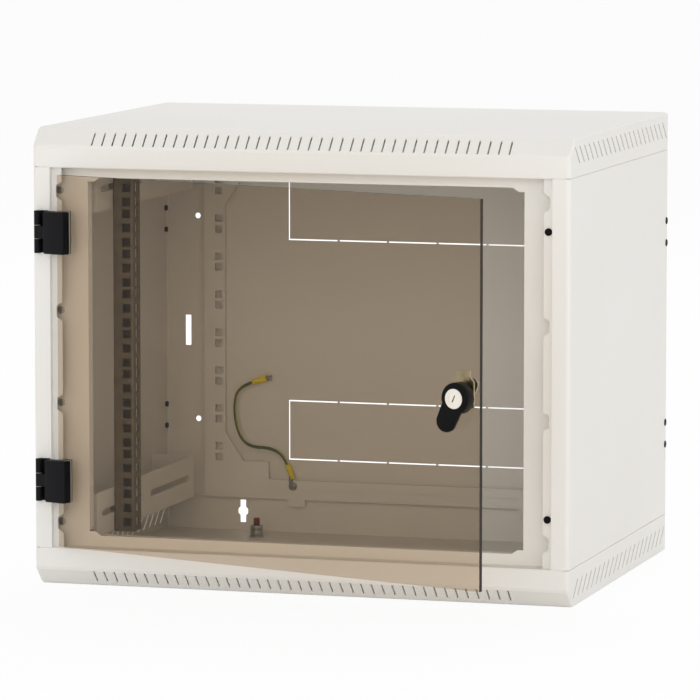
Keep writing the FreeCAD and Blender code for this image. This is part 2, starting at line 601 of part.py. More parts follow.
# Door: a glass pane on two hinges.  Its pieces are drawn closed and then swung open together
# about the hinge axis.
open_door = FreeCAD.Placement(
    FreeCAD.Vector(0, 0, 0), FreeCAD.Rotation(FreeCAD.Vector(0, 0, 1), -d.door_open.value),
    FreeCAD.Vector(-d.hinge_x.value, -d.hinge_y.value, 0))
turn_lever = FreeCAD.Placement(
    FreeCAD.Vector(0, 0, 0), FreeCAD.Rotation(FreeCAD.Vector(0, 1, 0), d.lever_turn.value),
    FreeCAD.Vector(d.lock_x.value, 0, d.lock_z.value))
glass_back = d.glass_front - d.glass_gauge


def door_body(name):
    body = new_body(name)
    body.Placement = open_door
    return body


def lever_body(name):
    body = new_body(name)
    body.Placement = open_door.multiply(turn_lever)
    return body


glass = door_body("door_glass")
pane = new_sketch(glass, "glass_pane", "XZ_Plane", d.glass_front)
draw_box(pane, -d.glass_left, d.glass_right, d.glass_low, d.glass_low + d.glass_tall)
pad(glass, pane, d.glass_gauge, flip=True)
pane_holes = new_sketch(glass, "glass_holes", "XZ_Plane", d.glass_front + d.cut_margin)
draw_disc(pane_holes, d.lock_x, d.lock_z, d.lock_hole, BARREL_SIDES)
screw_x = d.clamp_screw_u - d.hinge_x
hinge_levels = [d.hinge_lower, d.hinge_upper]
screw_levels = [level + d.clamp_screw_z * hand for level in hinge_levels for hand in (-1, 1)]
for level in screw_levels:
    draw_disc(pane_holes, screw_x, level, d.glass_screw_hole, SHANK_SIDES)
pocket(glass, pane_holes, d.glass_gauge + d.cut_margin * 2)

third = d.hinge_tall / 3
for place, level in (("lower", d.hinge_lower), ("upper", d.hinge_upper)):
    low = level - d.hinge_tall / 2
    # Cabinet half: a leaf on the post with the two outer knuckles.
    leaf = new_body("hinge_leaf_" + place)
    sketch = new_sketch(leaf, "leaf_plate_" + place, "XY_Plane", low)
    draw_box(sketch, -d.leaf_left, -d.leaf_right, -(half_depth + d.leaf_gauge), -half_depth)
    pad(leaf, sketch, d.hinge_tall)
    for index in (0, 2):
        web = new_sketch(leaf, "leaf_web_%s_%d" % (place, index), "XY_Plane", low + third * index)
        draw_box(web, -(d.hinge_x + d.leaf_web_out), d.leaf_web_in - d.hinge_x, -d.hinge_y, -half_depth)
        pad(leaf, web, third)
        knuckle = new_sketch(leaf, "leaf_knuckle_%s_%d" % (place, index), "XY_Plane",
                             low + third * index)
        draw_disc(knuckle, -d.hinge_x, -d.hinge_y, d.knuckle_radius, HEAD_SIDES)
        pad(leaf, knuckle, third)
    bore = new_sketch(leaf, "leaf_bore_" + place, "XY_Plane", low)
    draw_disc(bore, -d.hinge_x, -d.hinge_y, around(d.pin_radius, HEAD_SIDES), HEAD_SIDES)
    pocket(leaf, bore, d.hinge_tall, flip=True)
    pin = new_body("hinge_pin_" + place)
    sketch = new_sketch(pin, "pin_" + place, "XY_Plane", low)
    draw_circle(sketch, -d.hinge_x, -d.hinge_y, d.pin_radius)
    pad(pin, sketch, d.hinge_tall)
    # Door half: a block in front of the glass with the middle knuckle on an arm.
    block = door_body("hinge_block_" + place)
    sketch = new_sketch(block, "block_plan_" + place, "XY_Plane", low)
    block_y = d.glass_front + d.pad_gauge
    draw_box(sketch, d.block_near - d.hinge_x, d.block_far - d.hinge_x,
             -(d.hinge_y + d.block_front), -block_y)
    pad(block, sketch, d.hinge_tall)
    dress_edges(block, "Chamfer", d.block_bevel, lambda a, b: near(a.y, -(d.hinge_y + d.block_front))
                and near(b.y, -(d.hinge_y + d.block_front)))
    arm = new_sketch(block, "block_arm_" + place, "XY_Plane", low + third + d.knuckle_gap)
    draw_box(arm, -d.hinge_x, d.block_near + d.cut_margin - d.hinge_x,
             -(d.hinge_y + d.knuckle_radius), d.arm_rear - d.hinge_y)
    pad(block, arm, third - d.knuckle_gap * 2)
    knuckle = new_sketch(block, "block_knuckle_" + place, "XY_Plane", low + third + d.knuckle_gap)
    draw_disc(knuckle, -d.hinge_x, -d.hinge_y, d.knuckle_radius, HEAD_SIDES)
    pad(block, knuckle, third - d.knuckle_gap * 2)
    bore = new_sketch(block, "block_bore_" + place, "XY_Plane", low)
    draw_disc(bore, -d.hinge_x, -d.hinge_y,
              around(d.pin_radius + d.pin_clearance, HEAD_SIDES), HEAD_SIDES)
    pocket(block, bore, d.hinge_tall, flip=True)
    threads = new_sketch(block, "block_threads_" + place, "XZ_Plane", block_y)
    rest = door_body("hinge_pad_" + place)
    sketch = new_sketch(rest, "pad_outline_" + place, "XZ_Plane", d.glass_front)
    draw_box(sketch, d.clamp_near - d.hinge_x, d.block_far + d.pad_over - d.hinge_x,
             low - d.pad_over, low + d.hinge_tall + d.pad_over)
    clamp = door_body("hinge_clamp_" + place)
    outline = new_sketch(clamp, "clamp_outline_" + place, "XZ_Plane", glass_back)
    draw_box(outline, d.clamp_near - d.hinge_x, d.clamp_far - d.hinge_x, low, low + d.hinge_tall)
    for hand in (-1, 1):
        for holes in (threads, sketch, outline):
            draw_disc(holes, screw_x, level + d.clamp_screw_z * hand, d.clamp_screw_radius, SHANK_SIDES)
    pocket(block, threads, d.thread_depth, flip=True)
    pad(rest, sketch, d.pad_gauge)
    pad(clamp, outline, d.clamp_gauge, flip=True)

washers = new_body("hinge_washers")
for index, level in enumerate(hinge_levels):
    for end in (1, 2):
        rise = 0 if end == 1 else -d.washer_tall
        sketch = new_sketch(washers, "washer_%d_%d" % (index, end), "XY_Plane",
                            level - d.hinge_tall / 2 + third * end + rise)
        draw_disc(sketch, -d.hinge_x, -d.hinge_y, d.knuckle_radius, HEAD_SIDES)
        draw_disc(sketch, -d.hinge_x, -d.hinge_y,
                  around(d.pin_radius + d.pin_clearance, SHANK_SIDES), SHANK_SIDES)
        pad(washers, sketch, d.washer_tall)

clamp_screws = door_body("hinge_screws")
screw_run = d.clamp_gauge + d.glass_gauge + d.pad_gauge + d.clamp_screw_bite
for name, radius, length, sides, flip in (
        ("head", d.clamp_screw_head, d.clamp_screw_head_tall, HEAD_SIDES, True),
        ("shank", d.clamp_screw_radius, screw_run, SHANK_SIDES, False)):
    sketch = new_sketch(clamp_screws, "clamp_screw_" + name, "XZ_Plane", glass_back - d.clamp_gauge)
    for level in screw_levels:
        draw_disc(sketch, screw_x, level, radius, sides)
    pad(clamp_screws, sketch, length, flip=flip)

# Lock: a fixed housing through the glass with a plate nut behind it, a turning lever that carries
# the cylinder and the cam, and a core that the key turns.


def turned(body, name, steps):
    """Discs along the lock axis, each from one distance in front of the middle to another."""
    for index, (start, end, radius, sides) in enumerate(steps):
        disc = new_sketch(body, "%s_%d" % (name, index), "XZ_Plane", start)
        draw_disc(disc, d.lock_x, d.lock_z, radius, sides)
        pad(body, disc, as_size(end) - start)


def drill(body, name, start, end, radius, sides):
    """Hole along the lock axis with sides that touch the circle of this radius."""
    hole = new_sketch(body, name, "XZ_Plane", end)
    draw_disc(hole, d.lock_x, d.lock_z, around(radius, sides), sides)
    pocket(body, hole, as_size(end) - start)


housing = door_body("lock_housing")
turned(housing, "housing", (
    (d.barrel_back, d.glass_front, d.barrel_radius, BARREL_SIDES),
    (d.glass_front, d.glass_front + d.rosette_tall, d.rosette_radius, LOCK_SIDES)))
drill(housing, "housing_bore", d.barrel_back, d.glass_front + d.rosette_tall,
      d.spindle_radius + d.spindle_gap, BARREL_SIDES)
lock_nut = door_body("lock_nut")
sketch = new_sketch(lock_nut, "lock_nut_outline", "XZ_Plane", glass_back)
plate_left = d.lock_x - d.plate_half
plate_right = d.lock_x + d.plate_half
draw_polygon(sketch, [
    (plate_left, d.lock_z - d.plate_low), (plate_right, d.lock_z - d.plate_low),
    (plate_right, d.lock_z + d.plate_shoulder),
    (plate_right - d.plate_cut, d.lock_z + d.plate_shoulder + d.plate_cut),
    (plate_right - d.plate_cut, d.lock_z + d.plate_high), (plate_left, d.lock_z + d.plate_high)])
draw_disc(sketch, d.lock_x, d.lock_z, d.barrel_radius, BARREL_SIDES)
pad(lock_nut, sketch, d.plate_gauge, flip=True)

lever = lever_body("lock_lever")
sketch = new_sketch(lever, "lever_brim", "XZ_Plane", d.lever_front - d.brim_tall)
draw_hull(sketch, (d.lock_x, d.lock_z), (d.lock_x, d.lock_z - d.lobe_reach),
          d.lever_radius, d.lobe_radius, HULL_STEPS)
pad(lever, sketch, d.brim_tall)
dress_edges(lever, "Chamfer", d.lever_bevel,
            lambda a, b: near(a.y, -d.lever_front) and near(b.y, -d.lever_front))
turned(lever, "lever_collar", ((d.lever_back, d.lever_front, d.collar_radius, LOCK_SIDES),))
drill(lever, "lever_seat", d.cylinder_seat, d.lever_front, d.cylinder_radius, LOCK_SIDES)
drill(lever, "lever_bore", d.lever_back, d.lever_front, d.spindle_radius, BARREL_SIDES)
cylinder = lever_body("lock_cylinder")
cam_back = d.cam_front - d.cam_gauge
turned(cylinder, "cylinder", (
    (d.cam_front, d.cylinder_seat, d.spindle_radius, BARREL_SIDES),
    (d.cylinder_seat, d.cylinder_front, around(d.cylinder_radius, LOCK_SIDES), LOCK_SIDES)))
square = new_sketch(cylinder, "cylinder_square", "XZ_Plane", cam_back)
half_square = d.cam_square / 2


def draw_square(sketch):
    draw_box(sketch, d.lock_x - half_square, d.lock_x + half_square,
             d.lock_z - half_square, d.lock_z + half_square)


draw_square(square)
pad(cylinder, square, d.cam_gauge)
drill(cylinder, "cylinder_bore", d.core_back - d.core_end_gap, d.cylinder_front,
      d.core_radius + d.core_gap, LOCK_SIDES)
core = lever_body("lock_core")
turned(core, "core", ((d.core_back, d.core_front, d.core_radius, LOCK_SIDES),))
key = new_sketch(core, "core_keyway", "XZ_Plane", d.core_front)
draw_box(key, d.lock_x - d.key_wide / 2, d.lock_x + d.key_wide / 2,
         d.lock_z - d.key_tall / 2, d.lock_z + d.key_tall / 2)
pocket(core, key, d.key_deep)
cam = lever_body("lock_cam")
sketch = new_sketch(cam, "cam_outline", "XZ_Plane", d.cam_front)
draw_hull(sketch, (d.lock_x, d.lock_z), (d.lock_x, d.lock_z + d.cam_reach),
          d.cam_radius, d.cam_radius, HEAD_SIDES)
draw_square(sketch)
pad(cam, sketch, d.cam_gauge, flip=True)
cam_screw = lever_body("cam_screw")
turned(cam_screw, "cam_screw", ((cam_back - d.cam_screw_tall, cam_back, d.cam_screw_radius, HEAD_SIDES),))

# Stops that the closed door rests on.
bumpers = new_body("door_bumpers")
sketch = new_sketch(bumpers, "bumper_plan", "XZ_Plane", strip_y)
for level in (d.bumper_low, d.bumper_high):
    draw_disc(sketch, d.bumper_x, level, d.bumper_radius, HEAD_SIDES)
pad(bumpers, sketch, d.bumper_tall)

# Earth point: a stud on the floor of the base with a washer, a nut and a flat nut that locks it.
floor = d.gauge
stud = new_body("earth_stud")
sketch = new_sketch(stud, "stud_plan", "XY_Plane", floor)
draw_disc(sketch, -d.stud_x, d.stud_y, d.stud_radius, HEAD_SIDES)
pad(stud, sketch, d.stud_tall)
washer = new_body("earth_washer")
sketch = new_sketch(washer, "earth_washer_plan", "XY_Plane", floor)
draw_disc(sketch, -d.stud_x, d.stud_y, d.washer_radius, HEAD_SIDES)
draw_disc(sketch, -d.stud_x, d.stud_y, d.stud_radius, HEAD_SIDES)
pad(washer, sketch, d.washer_gauge)
stud_nut = new_body("earth_nut")
nut_low = floor + d.washer_gauge
for name, low, tall in (("main", nut_low, d.stud_nut_tall),
                        ("flat", nut_low + d.stud_nut_tall + d.slack, d.flat_nut_tall)):
    sketch = new_sketch(stud_nut, "earth_nut_" + name, "XY_Plane", low)
    draw_hexagon(sketch, -d.stud_x, d.stud_y, d.stud_nut_across)
    draw_disc(sketch, -d.stud_x, d.stud_y, d.stud_radius, HEAD_SIDES)
    pad(stud_nut, sketch, tall)

# Earth lead: a limp wire from a ring terminal on the rear frame to a push-on terminal on a tab.
ARC_SHARE = 0.45
ROUTE = [(-148, 211, 82.5), (-152.5, 209.5, 94), (-168, 206.5, 102), (-192, 205.5, 102),
         (-206, 206, 116), (-212, 207, 148), (-207, 209, 171.5), (-190.5, 211.5, 177)]


def route_wire(points):
    """Straight runs joined by tangent arcs."""
    edges = []
    start = points[0]
    for before, corner, after in zip(points, points[1:], points[2:]):
        back_way = (before - corner).normalize()
        on_way = (after - corner).normalize()
        half_turn = (math.pi - back_way.getAngle(on_way)) / 2
        trim = ARC_SHARE * min((before - corner).Length, (after - corner).Length)
        radius = trim / math.tan(half_turn)
        print("lead bend radius %.1f" % radius)
        middle = (back_way + on_way).normalize()
        centre = corner + middle * (radius / math.cos(half_turn))
        first = corner + back_way * trim
        last = corner + on_way * trim
        edges.append(Part.LineSegment(start, first).toShape())
        edges.append(Part.Arc(first, centre - middle * radius, last).toShape())
        start = last
    edges.append(Part.LineSegment(start, points[-1]).toShape())
    return Part.Wire(edges)


def ring_wire(centre, way, radius, sides):
    """Regular polygon around a point, square to the given way."""
    turn = FreeCAD.Rotation(FreeCAD.Vector(0, 0, 1), way)
    angles = [2 * math.pi * side / sides for side in range(sides + 1)]
    return Part.makePolygon([
        centre + turn.multVec(FreeCAD.Vector(radius * math.cos(a), radius * math.sin(a), 0)) for a in angles])


def rod(start, end, radius, sides):
    way = end - start
    return Part.Face(ring_wire(start, way, radius, sides)).extrude(way)


def add_shape(name, shape):
    piece = doc.addObject("Part::Feature", name)
    piece.Label = name
    piece.Shape = shape
    piece.Placement = FreeCAD.Placement()
    pieces.append(piece)


def beyond(point, other, distance):
    """A point on the line from other to point, the distance past point."""
    return point + (point - other).normalize() * distance


route = [FreeCAD.Vector(*point) for point in ROUTE]
path = route_wire(route)
lead_section = ring_wire(route[0], route[1] - route[0], d.lead_radius.value, LEAD_SIDES)
lead = path.makePipeShell([lead_section], True, False)
add_shape("earth_lead", lead)
print("lead length %.1f volume %.1f of %.1f" % (
    path.Length, lead.Volume, Part.Face(lead_section).Area * path.Length))

# Ring terminal: a flat ring under a screw on the rear frame, with a tongue and a crimp for the wire.
out = FreeCAD.Vector(0, -1, 0)
ring_centre = FreeCAD.Vector(-d.ring_x.value, d.rear_y.value - d.bead_deep.value, d.ring_z.value)
ring_face = ring_centre + out * d.ring_gauge.value
ring_disc = rod(ring_centre, ring_face, d.ring_radius.value, HEAD_SIDES)
tongue_corner = ring_centre + FreeCAD.Vector(
    -d.ring_tongue_wide.value, -d.ring_tongue_deep.value, d.ring_tongue_start.value)
tongue = Part.makeBox(d.ring_tongue_wide.value, d.ring_tongue_deep.value, d.ring_tongue_long.value,
                      tongue_corner)
crimp = rod(beyond(route[0], route[1], d.crimp_long.value), route[0], d.crimp_radius.value, HEAD_SIDES)
add_shape("ring_terminal", ring_disc.fuse([tongue, crimp]).removeSplitter())
add_shape("ring_screw", rod(ring_face, ring_face + out * d.ring_screw_tall.value,
                            d.ring_screw_across.value / math.sqrt(3), 6))

# Push-on terminal: a sleeve on the wire and the tab of the rear panel that it sits on.
socket_end = beyond(route[-1], route[-2], d.socket_long.value)
add_shape("push_terminal", rod(route[-1], socket_end, d.socket_radius.value, HEAD_SIDES))
blade_gauge = d.blade_gauge.value
blade_corner = socket_end - FreeCAD.Vector(0, blade_gauge / 2, d.blade_wide.value / 2)
blade = Part.makeBox(d.blade_long.value, blade_gauge, d.blade_wide.value, blade_corner)
foot_corner = blade_corner + FreeCAD.Vector(d.blade_long.value - blade_gauge, 0, 0)
panel_front = half_depth.value - d.gauge.value * 2
foot = Part.makeBox(blade_gauge, panel_front - blade_corner.y, d.blade_wide.value, foot_corner)
add_shape("earth_tab", blade.fuse(foot).removeSplitter())

doc.recompute()
os.makedirs("parts", exist_ok=True)
for piece in pieces:
    if "Invalid" in piece.State or "Error" in piece.State:
        raise RuntimeError("%s is in state %s" % (piece.Label, piece.State))
    shape = piece.Shape
    if shape.isNull() or not shape.isValid() or not shape.Solids:
        raise RuntimeError("%s has no valid solid" % piece.Label)
    shape.exportStep("parts/%s.step" % piece.Label)
    box = shape.BoundBox
    print("%-28s solids %d volume %9.0f x %.1f %.1f y %.1f %.1f z %.1f %.1f" % (
        piece.Label, len(shape.Solids), shape.Volume, box.XMin, box.XMax, box.YMin, box.YMax,
        box.ZMin, box.ZMax))
print("pieces", len(pieces))
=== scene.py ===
# %% [markdown]
# # Dressing a wall cabinet for 19 inch equipment
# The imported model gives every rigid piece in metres.  This lesson adds what plain solids leave out:
# finishes, the limp earth lead, round screw heads and knuckles, threads, and a small white studio.

# %% Load the frame
import json
import math

import bmesh
import bpy
from mathutils import Matrix, Vector


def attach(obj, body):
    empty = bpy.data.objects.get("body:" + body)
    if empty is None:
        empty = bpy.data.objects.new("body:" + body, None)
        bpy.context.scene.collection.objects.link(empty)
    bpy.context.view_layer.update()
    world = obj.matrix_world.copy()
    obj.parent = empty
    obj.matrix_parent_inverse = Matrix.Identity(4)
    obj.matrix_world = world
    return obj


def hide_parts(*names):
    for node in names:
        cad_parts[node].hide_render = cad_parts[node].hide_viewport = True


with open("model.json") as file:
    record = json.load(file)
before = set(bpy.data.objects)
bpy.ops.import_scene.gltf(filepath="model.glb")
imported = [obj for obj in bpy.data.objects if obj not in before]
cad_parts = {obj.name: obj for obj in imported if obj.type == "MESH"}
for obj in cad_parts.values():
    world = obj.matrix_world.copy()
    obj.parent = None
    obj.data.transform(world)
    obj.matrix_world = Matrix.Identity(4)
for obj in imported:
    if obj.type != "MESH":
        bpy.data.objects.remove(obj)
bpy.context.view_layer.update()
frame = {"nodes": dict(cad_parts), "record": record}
nodes = frame["nodes"]
bpy.ops.object.select_all(action="DESELECT")
bpy.context.scene.view_settings.view_transform = "Standard"
MM = 0.001

# %% [markdown]
# The camera stands a little to the right of the front and a little above it, far away with a long
# lens, as product pictures are taken.  The distance and the lens come from matching the edges of
# the covers, so no shift is needed.

# %% Camera
AZIMUTH, ELEVATION = math.radians(16.67), math.radians(6.40)
DISTANCE, LENS, FAR_END = 5.755, 266.2, 200
TARGET = Vector((-0.0088, 0.0, 0.2435))
back = Vector((math.sin(AZIMUTH) * math.cos(ELEVATION),
               -math.cos(AZIMUTH) * math.cos(ELEVATION), math.sin(ELEVATION)))
bpy.ops.object.camera_add(location=TARGET + back * DISTANCE)
camera = bpy.context.object
camera.name = "camera"
camera.rotation_euler = (-back).to_track_quat("-Z", "Y").to_euler()
camera.data.lens = LENS
camera.data.clip_end = FAR_END
bpy.context.scene.camera = camera
print("camera at", camera.location[:])

# %% [markdown]
# Materials are small node trees.  One function adds a node with its settings and links, one turns
# the sRGB hex values of a colour card into the linear numbers that shaders use, and one turns the
# size of a pattern into the scale that its node asks for.

# %% Node helpers


def srgb(text):
    """Linear colour from an sRGB hex value."""
    channels = [int(text[i:i + 2], 16) / 255 for i in (1, 3, 5)]
    linear = [c / 12.92 if c <= 0.04045 else ((c + 0.055) / 1.055) ** 2.4 for c in channels]
    return (*linear, 1.0)


def add_node(tree, kind, links=None, **settings):
    """A node with plain attributes, and input sockets set or linked by name or number."""
    node = tree.nodes.new(kind)
    for name, value in settings.items():
        setattr(node, name, value)
    for socket, value in (links or {}).items():
        if isinstance(value, bpy.types.NodeSocket):
            tree.links.new(value, node.inputs[socket])
        else:
            node.inputs[socket].default_value = value
    return node


def new_material(name):
    """A material with an empty node tree."""
    material = bpy.data.materials.new(name)
    material.use_nodes = True
    material.node_tree.nodes.clear()
    return material, material.node_tree


def per_metre(size_mm):
    """Scale of a pattern whose features are this many millimetres apart."""
    return 1000.0 / size_mm


# %% [markdown]
# Sheet steel of such cabinets is powder coated: the powder melts to a slightly dimpled film, called
# orange peel.  The dimples are about a millimetre apart and very shallow, so they only soften
# highlights.  A wide, faint mottling keeps large plain faces from looking like paper.

# %% Powder-coated steel
MOTTLE_MM = 180
# The real dimples are about 0.8 mm apart; 2 mm is the finest that shows at this size.
PEEL_MM, PEEL_DEEP = 2, 0.2 * MM


def powder_coat(name, colour, shade):
    """Off-white polyester powder coat: satin, with faint orange peel."""
    material, tree = new_material(name)
    place = add_node(tree, "ShaderNodeTexCoord").outputs["Object"]
    cloud = add_node(tree, "ShaderNodeTexNoise", {
        "Vector": place, "Scale": per_metre(MOTTLE_MM), "Detail": 2.0})
    tint = add_node(tree, "ShaderNodeMix", {
        "Factor": cloud.outputs["Fac"], "A": srgb(colour), "B": srgb(shade)}, data_type="RGBA")
    peel = add_node(tree, "ShaderNodeTexNoise", {
        "Vector": place, "Scale": per_metre(PEEL_MM), "Detail": 1.0})
    bump = add_node(tree, "ShaderNodeBump", {
        "Height": peel.outputs["Fac"], "Strength": 0.12, "Distance": PEEL_DEEP})
    shader = add_node(tree, "ShaderNodeBsdfPrincipled", {
        "Base Color": tint.outputs["Result"], "Roughness": 0.42, "IOR": 1.5,
        "Normal": bump.outputs["Normal"]})
    add_node(tree, "ShaderNodeOutputMaterial", {"Surface": shader.outputs["BSDF"]})
    return material


paint = powder_coat("powder_coated_steel", "#e6e4df", "#e2dfd9")
print("made", paint.name)

# %% [markdown]
# The rails are hot-dip galvanised: zinc freezes into flat crystals, the spangle, each reflecting a
# little differently.  A cell pattern steers roughness and tone, and a noise bends the borders of
# its cells, because crystals do not grow straight.  Weathered zinc is a dull grey, far from a
# mirror.

# %% Galvanised steel
SPANGLE_MM, WARP_MM, WARP_BY = 9, 14, 6 * MM


def galvanised(name, dark, pale):
    """Hot-dip galvanised sheet: dull metal with crystal patches."""
    material, tree = new_material(name)
    place = add_node(tree, "ShaderNodeTexCoord").outputs["Object"]
    warp = add_node(tree, "ShaderNodeTexNoise", {
        "Vector": place, "Scale": per_metre(WARP_MM), "Detail": 3.0})
    bend = add_node(tree, "ShaderNodeVectorMath", {
        0: warp.outputs["Color"], "Scale": WARP_BY}, operation="SCALE")
    warped = add_node(tree, "ShaderNodeVectorMath", {
        0: place, 1: bend.outputs["Vector"]}, operation="ADD")
    spangle = add_node(tree, "ShaderNodeTexVoronoi", {
        "Vector": warped.outputs["Vector"], "Scale": per_metre(SPANGLE_MM)})
    tone = add_node(tree, "ShaderNodeValToRGB", {"Fac": spangle.outputs["Color"]})
    tone.color_ramp.elements[0].color = srgb(dark)
    tone.color_ramp.elements[1].color = srgb(pale)
    rough = add_node(tree, "ShaderNodeMapRange", {
        "Value": spangle.outputs["Color"], "To Min": 0.5, "To Max": 0.6})
    shader = add_node(tree, "ShaderNodeBsdfPrincipled", {
        "Base Color": tone.outputs["Color"], "Metallic": 0.5, "Roughness": rough.outputs["Result"]})
    add_node(tree, "ShaderNodeOutputMaterial", {"Surface": shader.outputs["BSDF"]})
    return material


zinc = galvanised("galvanised_steel", "#736a5b", "#857b6a")
print("made", zinc.name)

# %% [markdown]
# The door is bronze float glass, tinted through.  Light should reach the bay behind it, so the pane
# is a clear tint that lets rays pass straight, under a thin mirror that grows towards grazing
# angles.  Each ray meets two faces, so each face holds the square root of the tint of the pane.
#
# The ground edges look darker, because one looks along the pane there; the way a face points tells
# the edges apart.  Seen from inside the pane an edge stays clear, so it throws no dark bar across
# the view.  The shadow of the pane is paler than its tint: in a studio with light all round, much
# of the light comes past the edges.

# %% Bronze glass
DOOR_ANGLE = math.radians(18.3)
PANE_FACING = (-math.sin(DOOR_ANGLE), -math.cos(DOOR_ANGLE), 0.0)
# A surface that turns further than this cosine from the pane's own direction is an edge.
FACE_LIMIT = 0.7
GLASS_IOR, WIPE_MM = 1.52, 25
FACE_TINT, FACE_SHADOW = srgb("#efe8df"), srgb("#fdfaf6")


def bronze_glass(name):
    """Bronze float glass: warm tint, polished faces, dark ground edges."""
    material, tree = new_material(name)
    surface = add_node(tree, "ShaderNodeTexCoord")
    through = add_node(tree, "ShaderNodeBsdfTransparent", {"Color": FACE_TINT})
    # Fine dust and wiping marks change the polish a little.
    wiped = add_node(tree, "ShaderNodeTexNoise", {
        "Vector": surface.outputs["Object"], "Scale": per_metre(WIPE_MM), "Detail": 3.0})
    polish = add_node(tree, "ShaderNodeMapRange", {
        "Value": wiped.outputs["Fac"], "To Min": 0.01, "To Max": 0.05})
    mirror = add_node(tree, "ShaderNodeBsdfGlossy", {
        "Color": srgb("#aaaaaa"), "Roughness": polish.outputs["Result"]})
    slant = add_node(tree, "ShaderNodeFresnel", {"IOR": GLASS_IOR})
    # Rays go straight on inside the pane, so only the outer side of a face may mirror them.
    inside = add_node(tree, "ShaderNodeNewGeometry").outputs["Backfacing"]
    outside = add_node(tree, "ShaderNodeMath", {0: 1.0, 1: inside}, operation="SUBTRACT")
    shine = add_node(tree, "ShaderNodeMath", {
        0: slant.outputs["Fac"], 1: outside.outputs[0]}, operation="MULTIPLY")
    face = add_node(tree, "ShaderNodeMixShader", {
        0: shine.outputs[0], 1: through.outputs["BSDF"], 2: mirror.outputs["BSDF"]})
    ground = add_node(tree, "ShaderNodeBsdfPrincipled", {
        "Base Color": srgb("#2b251e"), "Roughness": 0.5, "IOR": GLASS_IOR,
        "Specular IOR Level": 0.2})
    edge = add_node(tree, "ShaderNodeMixShader", {
        0: inside, 1: ground.outputs["BSDF"], 2: through.outputs["BSDF"]})
    square = add_node(tree, "ShaderNodeVectorMath", {
        0: surface.outputs["Normal"], 1: PANE_FACING}, operation="DOT_PRODUCT")
    size = add_node(tree, "ShaderNodeMath", {0: square.outputs["Value"]}, operation="ABSOLUTE")
    is_face = add_node(tree, "ShaderNodeMath", {
        0: size.outputs[0], 1: FACE_LIMIT}, operation="GREATER_THAN")
    both = add_node(tree, "ShaderNodeMixShader", {
        0: is_face.outputs[0], 1: edge.outputs["Shader"], 2: face.outputs["Shader"]})
    is_shadow = add_node(tree, "ShaderNodeLightPath").outputs["Is Shadow Ray"]
    pale = add_node(tree, "ShaderNodeBsdfTransparent", {"Color": FACE_SHADOW})
    pane = add_node(tree, "ShaderNodeMixShader", {
        0: is_shadow, 1: both.outputs["Shader"], 2: pale.outputs["BSDF"]})
    add_node(tree, "ShaderNodeOutputMaterial", {"Surface": pane.outputs["Shader"]})
    return material


glass = bronze_glass("bronze_float_glass")
print("made", glass.name)

# %% [markdown]
# Hinges and lever are moulded plastic: the hinges glass-filled nylon with a spark-eroded grain, the
# lever a smoother ABS.  Both are nearly black, so roughness and grain carry the look.  Rubber and
# vinyl are moulded too, so one recipe with other numbers serves them all.

# %% Moulded plastics and rubber
GRAIN_DEEP, GRAIN_SPREAD = 0.2 * MM, 0.06


def moulded(name, colour, roughness, grain_mm, depth, shine=0.5):
    """Moulded plastic or rubber: even colour, grain left by the tool.

    Such grain is some 0.3 mm wide; about 1 mm is the finest that shows at this size.
    """
    material, tree = new_material(name)
    place = add_node(tree, "ShaderNodeTexCoord").outputs["Object"]
    grain = add_node(tree, "ShaderNodeTexNoise", {
        "Vector": place, "Scale": per_metre(grain_mm), "Detail": 2.0})
    bump = add_node(tree, "ShaderNodeBump", {
        "Height": grain.outputs["Fac"], "Strength": depth, "Distance": GRAIN_DEEP})
    rough = add_node(tree, "ShaderNodeMapRange", {
        "Value": grain.outputs["Fac"],
        "To Min": roughness - GRAIN_SPREAD, "To Max": roughness + GRAIN_SPREAD})
    shader = add_node(tree, "ShaderNodeBsdfPrincipled", {
        "Base Color": srgb(colour), "Roughness": rough.outputs["Result"], "IOR": 1.5,
        "Specular IOR Level": shine, "Normal": bump.outputs["Normal"]})
    add_node(tree, "ShaderNodeOutputMaterial", {"Surface": shader.outputs["BSDF"]})
    return material


nylon = moulded("glass_filled_nylon", "#0f0f12", 0.5, grain_mm=0.9, depth=0.35, shine=0.13)
lever_plastic = moulded("black_abs", "#080808", 0.32, grain_mm=1.2, depth=0.1, shine=0.1)
rubber = moulded("epdm_rubber", "#121212", 0.7, grain_mm=1.0, depth=0.3, shine=0.15)
pad_vinyl = moulded("pale_vinyl", "#8c877c", 0.5, grain_mm=1.5, depth=0.1)
sleeve_vinyl = moulded("yellow_vinyl", "#e8d21e", 0.4, grain_mm=1.0, depth=0.15)
print("made", nylon.name, lever_plastic.name, rubber.name, pad_vinyl.name, sleeve_vinyl.name)

# %% [markdown]
# Bright metals: the lock is nickel on zinc die casting, screws and nuts are zinc-plated steel, the
# plate behind the lock is passivated to a pale yellow, and the earth stud is copper plated.  A fine
# stretched noise stands for the drawn or turned surface.

# %% Bright metals
# Eight times finer along Z than across it, which draws the noise out into streaks.
STREAK = (1.0, 1.0, 8.0)


def plated(name, colour, roughness, streak_mm):
    """Plated metal with faint streaks, drawn coarser than real ones so that they show."""
    material, tree = new_material(name)
    place = add_node(tree, "ShaderNodeTexCoord").outputs["Object"]
    stretched = add_node(tree, "ShaderNodeMapping", {"Vector": place, "Scale": STREAK})
    streak = add_node(tree, "ShaderNodeTexNoise", {
        "Vector": stretched.outputs["Vector"], "Scale": per_metre(streak_mm), "Detail": 2.0})
    rough = add_node(tree, "ShaderNodeMapRange", {
        "Value": streak.outputs["Fac"], "To Min": roughness * 0.7, "To Max": roughness * 1.4})
    shader = add_node(tree, "ShaderNodeBsdfPrincipled", {
        "Base Color": srgb(colour), "Metallic": 1.0, "Roughness": rough.outputs["Result"]})
    add_node(tree, "ShaderNodeOutputMaterial", {"Surface": shader.outputs["BSDF"]})
    return material


